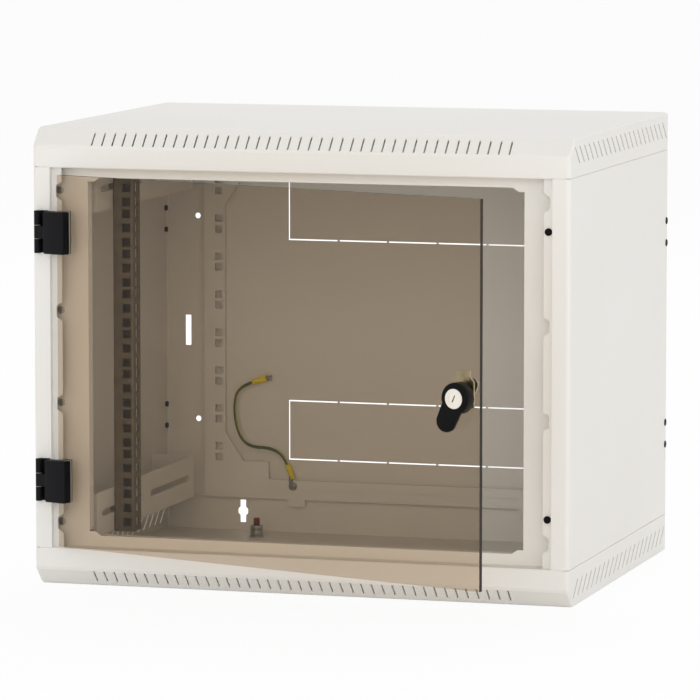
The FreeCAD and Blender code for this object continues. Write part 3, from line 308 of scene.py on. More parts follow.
nickel = plated("nickel_plated_zinc", "#f3ece2", 0.3, streak_mm=3)
zinc_plate = plated("zinc_plated_steel", "#b7b8b6", 0.3, streak_mm=3)
yellow_zinc = plated("yellow_passivated_steel", "#cfc7a8", 0.35, streak_mm=3)
copper = plated("copper_plated_steel", "#a8674a", 0.35, streak_mm=2)
print("made", nickel.name, zinc_plate.name, yellow_zinc.name, copper.name)

# %% [markdown]
# Earth wire has green insulation with a yellow stripe along it.  The stripe lies on one side of the
# wire, so the direction that the surface faces picks the colour.

# %% Earth wire insulation
STRIPE_START, STRIPE_FULL = 0.45, 0.6


def striped_vinyl(name, ground, stripe):
    """Extruded PVC insulation with a stripe of another colour: smooth and slightly glossy."""
    material, tree = new_material(name)
    facing = add_node(tree, "ShaderNodeTexCoord").outputs["Normal"]
    split = add_node(tree, "ShaderNodeSeparateXYZ", {0: facing})
    band = add_node(tree, "ShaderNodeMapRange", {
        "Value": split.outputs["X"], "From Min": STRIPE_START, "From Max": STRIPE_FULL})
    tint = add_node(tree, "ShaderNodeMix", {
        "Factor": band.outputs["Result"], "A": srgb(ground), "B": srgb(stripe)}, data_type="RGBA")
    shader = add_node(tree, "ShaderNodeBsdfPrincipled", {
        "Base Color": tint.outputs["Result"], "Roughness": 0.38, "IOR": 1.53})
    add_node(tree, "ShaderNodeOutputMaterial", {"Surface": shader.outputs["BSDF"]})
    return material


wire_vinyl = striped_vinyl("earth_wire_vinyl", "#4c5c26", "#b9ae3c")
print("made", wire_vinyl.name)

# %% [markdown]
# Each node of the frame keeps its mesh and only changes its material slot.  The record names the
# finish of every node, so one table from slot to material dresses them all.

# %% Dress the frame
FINISH = {
    "paint": paint, "galvanised": zinc, "glass": glass, "black_plastic": nylon, "chrome": nickel,
    "steel": zinc_plate, "rubber": rubber, "clear_pad": pad_vinyl, "copper_plate": copper,
    "lead": wire_vinyl, "yellow_sleeve": sleeve_vinyl}
for entry in frame["record"]["subparts"]:
    slots = nodes[entry["node"]].data.materials
    slots.clear()
    slots.append(FINISH[entry["material_slot"]])
nodes["lock_nut"].data.materials[0] = yellow_zinc
print("dressed", len(nodes), "nodes")

# %% [markdown]
# The earth lead hangs between its two terminals.  It is one smooth curve whose control points are
# the corners of the solid tube, so it stays where the frame has it.

# %% Earth lead
ROUTE_MM = [(-148, 211, 82.5), (-152.5, 209.5, 94), (-168, 206.5, 102), (-192, 205.5, 102),
            (-206, 206, 116), (-212, 207, 148), (-207, 209, 171.5), (-190.5, 211.5, 177)]
LEAD_DIAMETER = 3.6 * MM
line = bpy.data.curves.new("earth_wire", "CURVE")
line.dimensions = "3D"
line.bevel_depth = LEAD_DIAMETER / 2
line.bevel_resolution = 4
line.use_fill_caps = True
spline = line.splines.new("NURBS")
spline.points.add(len(ROUTE_MM) - 1)
for point, place in zip(spline.points, ROUTE_MM):
    point.co = (*[c * MM for c in place], 1.0)
spline.order_u = 3
spline.use_endpoint_u = True
spline.resolution_u = 12
wire = bpy.data.objects.new("earth_wire", line)
bpy.context.scene.collection.objects.link(wire)
line.materials.append(wire_vinyl)
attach(wire, "cabinet")
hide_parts("earth_lead")
print("earth lead of", len(ROUTE_MM), "points")

# %% [markdown]
# The small pieces are modelled as by hand, each from a primitive at its place.  Operators act on
# all that is selected, so the selection is cleared before a primitive is added.  All sizes below
# are millimetres, as on a drawing, and the helpers turn them into metres.

# %% Helpers that start a piece
AXIS_TURN = {"X": (0, math.pi / 2, 0), "Y": (math.pi / 2, 0, 0), "Z": (0, 0, 0)}


def select_only(*pieces):
    """Leave edit mode and select these pieces alone; the first becomes the active one."""
    if bpy.context.mode != "OBJECT":
        bpy.ops.object.mode_set(mode="OBJECT")
    bpy.ops.object.select_all(action="DESELECT")
    for piece in pieces:
        piece.select_set(True)
    if pieces:
        bpy.context.view_layer.objects.active = pieces[0]


def start(name, primitive, place, **settings):
    """Add one primitive, put its place into its mesh and start editing."""
    select_only()
    primitive(location=Vector(place) * MM, **settings)
    piece = bpy.context.object
    piece.name = piece.data.name = name
    bpy.ops.object.transform_apply(location=True, rotation=True, scale=True)
    bpy.ops.object.mode_set(mode="EDIT")
    return piece


def disc(name, place, radius, length, way, sides):
    """A cylinder centred on its place, along the X, Y or Z axis."""
    return start(name, bpy.ops.mesh.primitive_cylinder_add, place, vertices=sides,
                 radius=radius * MM, depth=length * MM, rotation=AXIS_TURN[way])


def block(name, low, high):
    """A box between two corners."""
    low, high = Vector(low), Vector(high)
    middle = (low + high) / 2
    return start(name, bpy.ops.mesh.primitive_cube_add, middle, size=MM, scale=high - low)


# %% [markdown]
# In edit mode, faces, edges and points are chosen by where their corners lie, and then bevelled,
# inset or extruded.  Where a shape is easier to draw as a tool, the tool is cut away or welded on.

# %% Helpers that choose and shape
NEAR = 0.02


def pick(kind, test):
    """Select the faces, edges or points whose corners all pass the test, given in millimetres."""
    bpy.ops.mesh.select_mode(type=kind)
    bpy.ops.mesh.select_all(action="DESELECT")
    mesh = bmesh.from_edit_mesh(bpy.context.object.data)
    for item in {"FACE": mesh.faces, "EDGE": mesh.edges, "VERT": mesh.verts}[kind]:
        corners = [item] if kind == "VERT" else item.verts
        item.select_set(all(test(corner.co / MM) for corner in corners))
    mesh.select_flush_mode()
    bmesh.update_edit_mesh(bpy.context.object.data)


def at(axis, level):
    """A test for points on the plane where this axis has this level."""
    return lambda p: abs(p["xyz".index(axis)] - level) < NEAR


def bevel(width, steps):
    bpy.ops.mesh.bevel(offset=width * MM, segments=steps, affect="EDGES")


def inset(width):
    bpy.ops.mesh.inset(thickness=width * MM)


def extrude(shift):
    bpy.ops.mesh.extrude_region_move(TRANSFORM_OT_translate={"value": Vector(shift) * MM})


def carve(piece, tool, how):
    """Cut away or weld on the space that the tool fills, then throw the tool away."""
    select_only(piece)
    modifier = piece.modifiers.new("carve", "BOOLEAN")
    modifier.operation = how
    modifier.solver = "EXACT"
    modifier.object = tool
    bpy.ops.object.modifier_apply(modifier=modifier.name)
    bpy.data.objects.remove(tool)
    return piece


# %% [markdown]
# What repeats is modelled once and copied, each copy with its own mesh.  A finished piece has its
# place in its mesh, gets its finish, and rides on a body of the frame in place of a plain solid.

# %% Helpers that copy and hand over
SMOOTH_BELOW = math.radians(35)


def moved(x, y, z):
    return Matrix.Translation(Vector((x, y, z)) * MM)


def turned_by(piece, turn):
    """Turn or move a piece and put that into its mesh."""
    select_only(piece)
    piece.matrix_world = turn
    bpy.ops.object.transform_apply(location=True, rotation=True, scale=True)
    return piece


def copy_of(piece, name, turn):
    """A turned or moved copy, with a mesh of its own."""
    select_only()
    twin = piece.copy()
    twin.data = piece.data.copy()
    twin.name = twin.data.name = name
    bpy.context.scene.collection.objects.link(twin)
    return turned_by(twin, turn)


def joined(first, *others):
    """One piece made of several, with the name of the first."""
    select_only(first, *others)
    bpy.ops.object.join()
    return first


def repeated(piece, shifts):
    """The piece joined with a copy of it at each of these shifts."""
    return joined(piece, *[copy_of(piece, "copy", moved(*shift)) for shift in shifts])


def upward(levels):
    """Shifts from the first of these levels to each of the others."""
    return [(0, 0, level - levels[0]) for level in levels[1:]]


def hand_over(piece, body, material, stands_for):
    """Smooth the round faces, give the finish and tie the piece to its body."""
    select_only(piece)
    bpy.ops.object.shade_smooth_by_angle(angle=SMOOTH_BELOW)
    piece.data.materials.clear()
    piece.data.materials.append(material)
    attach(piece, body)
    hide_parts(stands_for)
    print("made", piece.name, "of", len(piece.data.polygons), "faces for", stands_for)


# %% [markdown]
# The door is drawn closed and swung open about its hinges; the lever also turns about the lock.
# Drawing square to the axes keeps every plane easy to choose, and one matrix then opens the door.

# %% Turns of the door and the lever
HINGE_X, HINGE_Y, LOCK_X, LOCK_Z = -292.6, -231, 256.4, 245
LEVER_ANGLE = math.radians(25)
opening = Matrix.Rotation(-DOOR_ANGLE, 4, "Z")
turning = Matrix.Rotation(LEVER_ANGLE, 4, "Y")
swing = moved(HINGE_X, HINGE_Y, 0) @ opening @ moved(-HINGE_X, -HINGE_Y, 0)
twist = swing @ moved(LOCK_X, 0, LOCK_Z) @ turning @ moved(-LOCK_X, 0, -LOCK_Z)
print("lock stands at", (swing @ (Vector((LOCK_X, HINGE_Y, LOCK_Z)) * MM))[:])

# %% [markdown]
# Pan head screws hold the front frame, the hinge clamps, the cam and the earth terminal.  A head is
# a disc whose rim is rolled over by a bevel, with a cross recess.  The cross is a small cube with
# its four sides pulled out, cut away from the head; an inset could not leave that shape in a round
# face.

# %% Pan head
# Rim, half the width of an arm and its reach are shares of the radius, the depth of the height.
RIM_SHARE, ARM_SHARE, REACH_SHARE, DEPTH_SHARE = 0.36, 0.11, 0.42, 0.62


def pan_head(name, place, radius, height, outward=-1):
    """Cross-recess pan head standing on a plane at this place, facing the front or the rear."""
    x, base, z = place
    top = base + height * outward
    head = disc(name, (x, base + height * outward / 2, z), radius, height, "Y", sides=32)
    pick("EDGE", at("y", top))
    bevel(radius * RIM_SHARE, steps=4)
    half, reach, depth = radius * ARM_SHARE, radius * REACH_SHARE, height * DEPTH_SHARE
    cross = block("cross", (x - half, top - depth, z - half), (x + half, top + depth, z + half))
    for side in (-1, 1):
        pick("FACE", at("x", x + half * side))
        extrude((reach * side, 0, 0))
    for side in (-1, 1):
        # The sides of the two arms lie on this plane as well, so only the middle face is taken.
        pick("FACE", lambda p: at("z", z + half * side)(p) and abs(p.x - x) < half + NEAR)
        extrude((0, 0, reach * side))
    return carve(head, cross, "DIFFERENCE")


print("pan head ready")

# %% [markdown]
# The front frame has four screws on each side.  The clamp screws of the hinges face the bay and
# swing with the door, and the screw of the cam turns with the lever as well.

# %% Screws
SCREW_X, SCREW_FACE, SCREW_LEVELS = 276, -203, (68.5, 199.5, 300.5, 431.5)
screw = pan_head("frame_screw_heads", (-SCREW_X, SCREW_FACE, SCREW_LEVELS[0]), radius=4, height=2.5)
shifts = [(across, 0, level - SCREW_LEVELS[0])
          for across in (0, 2 * SCREW_X) for level in SCREW_LEVELS]
hand_over(repeated(screw, shifts[1:]), "cabinet", zinc_plate, "frame_screws")

CLAMP_X, CLAMP_BACK, CLAMP_LEVELS = -263.1, -217.2, (105.5, 129.5, 376, 400)
screw = pan_head("hinge_screw_heads", (CLAMP_X, CLAMP_BACK, CLAMP_LEVELS[0]),
                 radius=4, height=2, outward=1)
screw = turned_by(repeated(screw, upward(CLAMP_LEVELS)), swing)
hand_over(screw, "door", zinc_plate, "hinge_screws")

CAM_BACK = -212.2
screw = pan_head("cam_screw_head", (LOCK_X, CAM_BACK, LOCK_Z), radius=5.5, height=3, outward=1)
hand_over(turned_by(screw, twist), "lever", zinc_plate, "cam_screw")

RING_X, RING_FACE, RING_Z = -142, 212.5, 57
screw = pan_head("ring_screw_head", (RING_X, RING_FACE, RING_Z), radius=3.8, height=2.6)
hand_over(screw, "cabinet", zinc_plate, "ring_screw")

# %% [markdown]
# Unused holes in the side panels are closed by moulded plugs.  A plug is a disc with a rolled rim
# and a stem that snaps into the hole: an inset on the inner face leaves the stem's outline, and an
# extrude draws it in.

# %% Hole plugs
HALF_WIDTH, PLUG_Y, PLUG_LEVELS = 300, 217, (122.5, 147.5, 352.5, 377.5)
PLUG_R, PLUG_THICK, PLUG_RIM, STEM_STEP, STEM_LONG = 4, 1, 0.7, 0.95, 4
for side, hand in (("left", -1), ("right", 1)):
    middle = (hand * (HALF_WIDTH + PLUG_THICK / 2), PLUG_Y, PLUG_LEVELS[0])
    plug = disc("hole_plug_" + side, middle, PLUG_R, PLUG_THICK, "X", sides=32)
    pick("FACE", at("x", hand * HALF_WIDTH))
    inset(STEM_STEP)
    extrude((-hand * STEM_LONG, 0, 0))
    pick("EDGE", at("x", hand * (HALF_WIDTH + PLUG_THICK)))
    bevel(PLUG_RIM, steps=4)
    plug = repeated(plug, upward(PLUG_LEVELS))
    hand_over(plug, "cabinet", nylon, "hole_plugs_" + side)

# %% [markdown]
# The closed door rests on two rubber stops.  A stop is a disc dished in the middle, so that it
# gives a little; inset and extrude make the dish, and a bevel softens the ring around it.

# %% Door stops
STOP_X, STRIP_Y, STOP_LEVELS = 274.8, -218, (95, 401)
STOP_R, STOP_THICK, STOP_RIM, DISH_STEP, DISH_DEEP = 4, 2, 0.45, 1.6, 0.7
middle = (STOP_X, STRIP_Y - STOP_THICK / 2, STOP_LEVELS[0])
stop = disc("rubber_stops", middle, STOP_R, STOP_THICK, "Y", sides=32)
pick("FACE", at("y", STRIP_Y - STOP_THICK))
inset(DISH_STEP)
extrude((0, DISH_DEEP, 0))
pick("EDGE", at("y", STRIP_Y - STOP_THICK))
bevel(STOP_RIM, steps=3)
hand_over(repeated(stop, upward(STOP_LEVELS)), "cabinet", rubber, "door_bumpers")

# %% [markdown]
# A hinge has two halves.  The leaf on the post carries the outer knuckles.  Plate, webs and barrels
# are welded with a union, so that no faces stay inside; edges are rounded before that, while they
# are still easy to choose.

# %% Hinge leaves
HINGE_TALL, HINGE_LEVELS, KNUCKLE_R, KNUCKLE_EDGE = 46, (117.5, 388), 3.7, 0.3
LEAF_X, LEAF_Y, LEAF_EDGE = (-294, -281.5), (-227, -225), 0.4
WEB_RIGHT, WEB_BACK, WEB_PLAY = -289.6, -225.2, 0.2
hinge_low = HINGE_LEVELS[0] - HINGE_TALL / 2
hinge_high = hinge_low + HINGE_TALL
third = HINGE_TALL / 3
upper_shift = HINGE_LEVELS[1] - HINGE_LEVELS[0]


def rolled(piece, width, steps):
    """Round all edges of a piece."""
    pick("EDGE", lambda p: True)
    bevel(width, steps)
    return piece


def barrel(bottom, top):
    """A knuckle around the hinge axis."""
    middle = (HINGE_X, HINGE_Y, (bottom + top) / 2)
    knuckle = disc("knuckle", middle, KNUCKLE_R, top - bottom, "Z", sides=36)
    return rolled(knuckle, KNUCKLE_EDGE, steps=2)


leaf = block("hinge_leaf", (LEAF_X[0], LEAF_Y[0], hinge_low), (LEAF_X[1], LEAF_Y[1], hinge_high))
rolled(leaf, LEAF_EDGE, steps=2)
for foot in (hinge_low, hinge_low + 2 * third):
    head = foot + third
    web = block("web", (LEAF_X[0], HINGE_Y, foot + WEB_PLAY),
                (WEB_RIGHT, WEB_BACK, head - WEB_PLAY))
    carve(leaf, web, "UNION")
    carve(leaf, barrel(foot, head), "UNION")
upper_leaf = copy_of(leaf, "hinge_leaf_high", moved(0, 0, upper_shift))
hand_over(leaf, "cabinet", nylon, "hinge_leaf_lower")
hand_over(upper_leaf, "cabinet", nylon, "hinge_leaf_upper")

# %% [markdown]
# The block on the glass carries the middle knuckle on an arm.  It is drawn with the door closed,
# made in the same way as the leaf, and swung open with the door.

# %% Hinge blocks
BLOCK_X, BLOCK_Y, BLOCK_EDGE = (-279.6, -252.6), (-238, -226.2), 1.5
ARM_RIGHT, ARM_BACK, ARM_PLAY, KNUCKLE_GAP = -277.6, -228, 0.1, 0.8
arm_low, arm_high = hinge_low + third + KNUCKLE_GAP, hinge_low + 2 * third - KNUCKLE_GAP
body = block("hinge_block", (BLOCK_X[0], BLOCK_Y[0], hinge_low),
             (BLOCK_X[1], BLOCK_Y[1], hinge_high))
rolled(body, BLOCK_EDGE, steps=3)
arm = block("arm", (HINGE_X, HINGE_Y - KNUCKLE_R, arm_low + ARM_PLAY),
            (ARM_RIGHT, ARM_BACK, arm_high - ARM_PLAY))
carve(body, arm, "UNION")
carve(body, barrel(arm_low, arm_high), "UNION")
turned_by(body, swing)
upper_body = copy_of(body, "hinge_block_high", moved(0, 0, upper_shift))
hand_over(body, "door", nylon, "hinge_block_lower")
hand_over(upper_body, "door", nylon, "hinge_block_upper")

# %% [markdown]
# Thin pale washers keep the knuckles apart, so that plastic does not rub on plastic.  One is a flat
# disc with its edges broken; three copies fill the other gaps.

# %% Hinge washers
SPACER_THICK, SPACER_EDGE = 0.6, 0.12
middle = (HINGE_X, HINGE_Y, hinge_low + third + SPACER_THICK / 2)
spacer = disc("hinge_spacers", middle, KNUCKLE_R, SPACER_THICK, "Z", sides=36)
rolled(spacer, SPACER_EDGE, steps=1)
shifts = [(0, 0, up + gap) for up in (0, upper_shift) for gap in (0, third - SPACER_THICK)]
hand_over(repeated(spacer, shifts[1:]), "cabinet", pad_vinyl, "hinge_washers")

# %% [markdown]
# The lever is one black moulding: a round collar, and a tongue that reaches down from its front as
# a handle.  A disc becomes the tongue: the points on its lower side, as far as the tangents of the
# two arcs, shrink to the smaller radius and move down.  Bevels roll the rims, the wider collar is
# welded on, and the seat for the cylinder is cut away.

# %% Lock lever
LEVER_BACK, TONGUE_BACK, LEVER_FRONT = -227.5, -235, -240.5
COLLAR_R, LEVER_R, LOBE_R, LOBE_REACH = 16.5, 12.5, 11.5, 26.5
CYLINDER_R, CYLINDER_SEAT, CYLINDER_FRONT = 10.5, -230, -241.9
SEAT_PLAY, SEAT_DEEP, SPINDLE_BORE = 0.05, 12, 5.1
# Width and steps of each rolled rim.
FRONT_RIM, TONGUE_RIM, COLLAR_RIM = (2.2, 5), (0.8, 3), (0.5, 2)
lock_centre = Vector((LOCK_X, 0, LOCK_Z)) * MM
tangent = (LEVER_R - LOBE_R) / LOBE_REACH * LEVER_R
shrink = LOBE_R / LEVER_R


def lock_disc(name, rear, front, radius, sides):
    """A disc on the axis of the lock between two planes."""
    return disc(name, (LOCK_X, (rear + front) / 2, LOCK_Z), radius, rear - front, "Y", sides)


lever = lock_disc("lever_handle", TONGUE_BACK, LEVER_FRONT, LEVER_R, sides=96)
pick("VERT", lambda p: LOCK_Z - p.z > tangent)
bpy.ops.transform.resize(value=(shrink, 1, shrink), center_override=lock_centre)
bpy.ops.transform.translate(value=(0, 0, -LOBE_REACH * MM))
pick("EDGE", at("y", LEVER_FRONT))
bevel(*FRONT_RIM)
pick("EDGE", at("y", TONGUE_BACK))
bevel(*TONGUE_RIM)
collar = lock_disc("collar", LEVER_BACK, LEVER_FRONT, COLLAR_R, sides=80)
pick("EDGE", at("y", LEVER_BACK))
bevel(*COLLAR_RIM)
pick("EDGE", at("y", LEVER_FRONT))
bevel(*FRONT_RIM)
carve(lever, collar, "UNION")
seat = lock_disc("seat", CYLINDER_SEAT, CYLINDER_SEAT - SEAT_DEEP, CYLINDER_R + SEAT_PLAY, sides=64)
carve(lever, seat, "DIFFERENCE")
bore = disc("bore", (LOCK_X, CYLINDER_SEAT, LOCK_Z), SPINDLE_BORE, SEAT_DEEP, "Y", sides=48)
carve(lever, bore, "DIFFERENCE")
hand_over(turned_by(lever, twist), "lever", lever_plastic, "lock_lever")

# %% [markdown]
# The lock cylinder is turned from zinc and nickel plated: a drum with a chamfer, a fine groove near
# its rim, a bore for the core that the key turns, and a spindle towards the cam.  Inset and extrude
# follow each other from the rim inwards, as the turning tool does.

# %% Lock cylinder
# Step inwards and depth of the groove, of the land inside it and of the bore.
FACE_STEPS = ((0.8, 0.35), (0.5, -0.35), (1.75, 10.9))
DRUM_RIM, SPINDLE_R, SPINDLE_LONG, TIP_STEP, TIP_LONG = 0.7, 4.98, 15.6, 1.0, 2.2
drum = lock_disc("lock_drum", CYLINDER_SEAT, CYLINDER_FRONT, CYLINDER_R, sides=72)
pick("EDGE", at("y", CYLINDER_FRONT))
bevel(DRUM_RIM, steps=3)
pick("FACE", at("y", CYLINDER_FRONT))
for width, depth in FACE_STEPS:
    inset(width)
    extrude((0, depth, 0))
pick("FACE", at("y", CYLINDER_SEAT))
for width, length in ((CYLINDER_R - SPINDLE_R, SPINDLE_LONG), (TIP_STEP, TIP_LONG)):
    inset(width)
    extrude((0, length, 0))
hand_over(turned_by(drum, twist), "lever", nickel, "lock_cylinder")

# %% [markdown]
# The core sits in the bore of the cylinder and turns with the key.  It is a disc with a chamfer,
# and its keyway is milled: a block cut away shows a real slot with a floor, which a dark material
# alone would not.

# %% Key core
CORE_FRONT, CORE_BACK, CORE_R, CORE_RIM = -241.5, -231.2, 7, 0.4
KEYWAY_HALF_WIDE, KEYWAY_HALF_TALL, KEYWAY_DEEP, KEYWAY_PLAY = 0.8, 4, 5, 1
core = lock_disc("key_core", CORE_BACK, CORE_FRONT, CORE_R, sides=64)
pick("EDGE", at("y", CORE_FRONT))
bevel(CORE_RIM, steps=2)
corner = Vector((KEYWAY_HALF_WIDE, 0, KEYWAY_HALF_TALL))
keyway = block("keyway", Vector((LOCK_X, CORE_FRONT - KEYWAY_PLAY, LOCK_Z)) - corner,
               Vector((LOCK_X, CORE_FRONT + KEYWAY_DEEP, LOCK_Z)) + corner)
carve(core, keyway, "DIFFERENCE")
hand_over(turned_by(core, twist), "core", nickel, "lock_core")

# %% [markdown]
# The housing of the lock goes through the glass: a flat rosette in front, and a barrel behind it
# that the plate nut grips.  An inset on the back of the rosette leaves the barrel's outline.

# %% Lock housing
GLASS_FRONT, HOUSING_BACK = -225.2, -214.7
ROSETTE_R, ROSETTE_THICK, ROSETTE_RIM, BARREL_STEP = 14, 2, 0.4, 5.05
BORE_MIDDLE, BORE_LONG = -220, 20
housing = lock_disc("lock_rosette", GLASS_FRONT, GLASS_FRONT - ROSETTE_THICK, ROSETTE_R, sides=64)
pick("EDGE", at("y", GLASS_FRONT - ROSETTE_THICK))
bevel(ROSETTE_RIM, steps=2)
pick("FACE", at("y", GLASS_FRONT))
inset(BARREL_STEP)
extrude((0, HOUSING_BACK - GLASS_FRONT, 0))
bore = disc("bore", (LOCK_X, BORE_MIDDLE, LOCK_Z), SPINDLE_BORE, BORE_LONG, "Y", sides=48)
carve(housing, bore, "DIFFERENCE")
hand_over(turned_by(housing, swing), "door", zinc_plate, "lock_housing")

# %% [markdown]
# The earth point is an M8 stud in the floor of the base.  Its thread is one tooth swept up a helix
# by the Screw modifier, at the standard pitch of 1.25 mm.  It is real geometry and not bump,
# because a thread shows in the outline of the stud.

# %% Earth stud
STUD_X, STUD_Y, FLOOR_Z = -175, 178, 1.5
STUD_CORE_R, STUD_TALL, STUD_RIM = 3.32, 22, 0.4
PITCH, THREAD_TURNS, THREAD_STEPS, THREAD_START = 1.25, 15, 28, 2.2
TOOTH = ((3.2, 0, -0.55), (3.2, 0, 0.55), (4.0, 0, -0.1), (4.0, 0, 0.1))


def on_stud(name, foot, tall, radius, sides):
    """A disc around the axis of the stud that stands at this level."""
    return disc(name, (STUD_X, STUD_Y, foot + tall / 2), radius, tall, "Z", sides)


stud = on_stud("earth_bolt", FLOOR_Z, STUD_TALL, STUD_CORE_R, sides=32)
pick("EDGE", at("z", FLOOR_Z + STUD_TALL))
bevel(STUD_RIM, steps=2)
tooth = start("tooth", bpy.ops.mesh.primitive_plane_add, (0, 0, 0), size=MM)
bpy.ops.mesh.delete(type="ONLY_FACE")
select_only(tooth)
for point, corner in zip(tooth.data.vertices, TOOTH):
    point.co = Vector(corner) * MM
thread = tooth.modifiers.new("thread", "SCREW")
thread.angle = 2 * math.pi
thread.screw_offset = PITCH * MM
thread.iterations = THREAD_TURNS
thread.steps = thread.render_steps = THREAD_STEPS
thread.use_merge_vertices = False
bpy.ops.object.modifier_apply(modifier=thread.name)
stud = joined(stud, turned_by(tooth, moved(STUD_X, STUD_Y, FLOOR_Z + THREAD_START)))
hand_over(stud, "cabinet", copper, "earth_stud")

# %% [markdown]
# A washer, a nut and a flat locking nut sit at the foot of the stud.  A cylinder of six sides is a
# nut already; a bevel breaks its edges, and the bore is cut through.

# %% Nuts and washer of the earth stud
WASHER_R, WASHER_THICK, WASHER_RIM, WASHER_BORE = 8.5, 1.6, 0.4, 4.1
NUT_ACROSS, NUT_TALL, FLAT_TALL, NUT_GAP, NUT_EDGE, NUT_BORE = 13, 6.5, 5, 0.3, 0.7, 3.6
CUT_PAST = 2


def bored(piece, foot, tall, radius):
    """Cut the hole for the stud through a piece that stands at this level."""
    bore = on_stud("bore", foot - CUT_PAST, tall + 2 * CUT_PAST, radius, sides=32)
    return carve(piece, bore, "DIFFERENCE")


def hex_nut(name, foot, tall):
    nut = on_stud(name, foot, tall, NUT_ACROSS / math.sqrt(3), sides=6)
    return bored(rolled(nut, NUT_EDGE, steps=2), foot, tall, NUT_BORE)


nut_foot = FLOOR_Z + WASHER_THICK
nut = hex_nut("earth_hex_nuts", nut_foot, NUT_TALL)
nuts = joined(nut, hex_nut("flat_nut", nut_foot + NUT_TALL + NUT_GAP, FLAT_TALL))
hand_over(nuts, "cabinet", zinc_plate, "earth_nut")

flat = on_stud("earth_flat_washer", FLOOR_Z, WASHER_THICK, WASHER_R, sides=48)
pick("EDGE", at("z", nut_foot))
bevel(WASHER_RIM, steps=2)
flat = bored(flat, FLOOR_Z, WASHER_THICK, WASHER_BORE)
hand_over(flat, "cabinet", zinc_plate, "earth_washer")

# %% [markdown]
# Both ends of the lead have crimped terminals with yellow sleeves: a tinned ring under the screw on
# the rear frame, and a push-on socket.  A sleeve is a barrel along the wire, wide where the wire
# enters; the far end is drawn in on the ring terminal, and pressed flat on the push-on socket.

# %% Terminal sleeves
# Shares of the length: the barrel narrows between the first two, and points past the third move.
NARROW_FROM, NARROW_TO, FAR_PART = 0.45, 0.6, 0.5
SLEEVE_EDGE = 0.4
ring_start, ring_next = [Vector(point) for point in ROUTE_MM[:2]]
push_start, push_before = [Vector(point) for point in (ROUTE_MM[-1], ROUTE_MM[-2])]


def sleeve(name, mouth, wire_point, radius, length, far_end, stands_for):
    """A barrel from the mouth, where the wire enters, away from the wire."""
    tube = disc(name, (0, 0, length / 2), radius, length, "Z", sides=32)
    for share in (NARROW_TO, NARROW_FROM):
        bpy.ops.mesh.select_all(action="SELECT")
        bpy.ops.mesh.bisect(plane_co=(0, 0, length * share * MM), plane_no=(0, 0, 1))
    pick("VERT", lambda p: p.z > length * FAR_PART)
    bpy.ops.transform.resize(value=(*far_end, 1), center_override=(0, 0, 0))
    pick("EDGE", lambda p: at("z", 0)(p) or at("z", length)(p))
    bevel(SLEEVE_EDGE, steps=3)
    away = (mouth - wire_point).normalized().to_track_quat("Z", "Y")
    turned_by(tube, Matrix.Translation(mouth * MM) @ away.to_matrix().to_4x4())
    hand_over(tube, "cabinet", sleeve_vinyl, stands_for)
    return tube


ring_sleeve = sleeve("ring_sleeve", ring_start, ring_next, radius=3.3, length=18,
                     far_end=(0.85, 0.85), stands_for="ring_terminal")
push_sleeve = sleeve("push_sleeve", push_start, push_before, radius=3.2, length=17,
                     far_end=(0.6, 1.25), stands_for="push_terminal")

# %% [markdown]
# The ring of the terminal is stamped sheet: a disc with its edges broken, welded to a shank that
# runs up into the sleeve.

# %% Tinned ring
RING_R, RING_THICK, RING_EDGE = 5, 1, 0.15
# Lower and upper corner of the shank, from the middle of the ring's face.
SHANK = ((-4, -1.3, 4), (0, 0.9, 12))
middle = (RING_X, RING_FACE + RING_THICK / 2, RING_Z)
ring = disc("tinned_ring", middle, RING_R, RING_THICK, "Y", sides=40)
rolled(ring, RING_EDGE, steps=1)
face_middle = Vector((RING_X, RING_FACE, RING_Z))
shank = block("shank", *[face_middle + Vector(corner) for corner in SHANK])
carve(ring, shank, "UNION")
hand_over(ring, "cabinet", zinc_plate, "ring_terminal")
print("terminals on the lead")

# %% [markdown]
# The studio has soft light from all round.  The surroundings show white to the camera, and to what
# mirrors or passes its rays, while all other rays get the plain level that lights the cabinet.  So
# the background is white without more light on the paint.

# %% Surroundings
WORLD_LIGHT = 0.68
WHITE = srgb("#ffffff")


def white_to_camera(tree):
    """Share of the white background: 1 for camera, glossy and transmitted rays."""
    path = add_node(tree, "ShaderNodeLightPath")
    direct = add_node(tree, "ShaderNodeMath", {
        0: path.outputs["Is Camera Ray"], 1: path.outputs["Is Glossy Ray"]}, operation="MAXIMUM")
    share = add_node(tree, "ShaderNodeMath", {
        0: direct.outputs[0], 1: path.outputs["Is Transmission Ray"]}, operation="MAXIMUM")
    return share.outputs[0]


world = bpy.data.worlds.new("studio")
bpy.context.scene.world = world
world.use_nodes = True
sky = world.node_tree
sky.nodes.clear()
around = add_node(sky, "ShaderNodeBackground", {"Color": WHITE, "Strength": WORLD_LIGHT})
shown = add_node(sky, "ShaderNodeBackground", {"Color": WHITE, "Strength": 1.0})
either = add_node(sky, "ShaderNodeMixShader", {
    0: white_to_camera(sky), 1: around.outputs[0], 2: shown.outputs[0]})
add_node(sky, "ShaderNodeOutputWorld", {"Surface": either.outputs[0]})
print("made", world.name, "of strength", WORLD_LIGHT)

# %% [markdown]
# The floor is a wide plane that glows white in the same way.  A small share of it stays matte, so
# that it keeps the shadow of the cabinet.

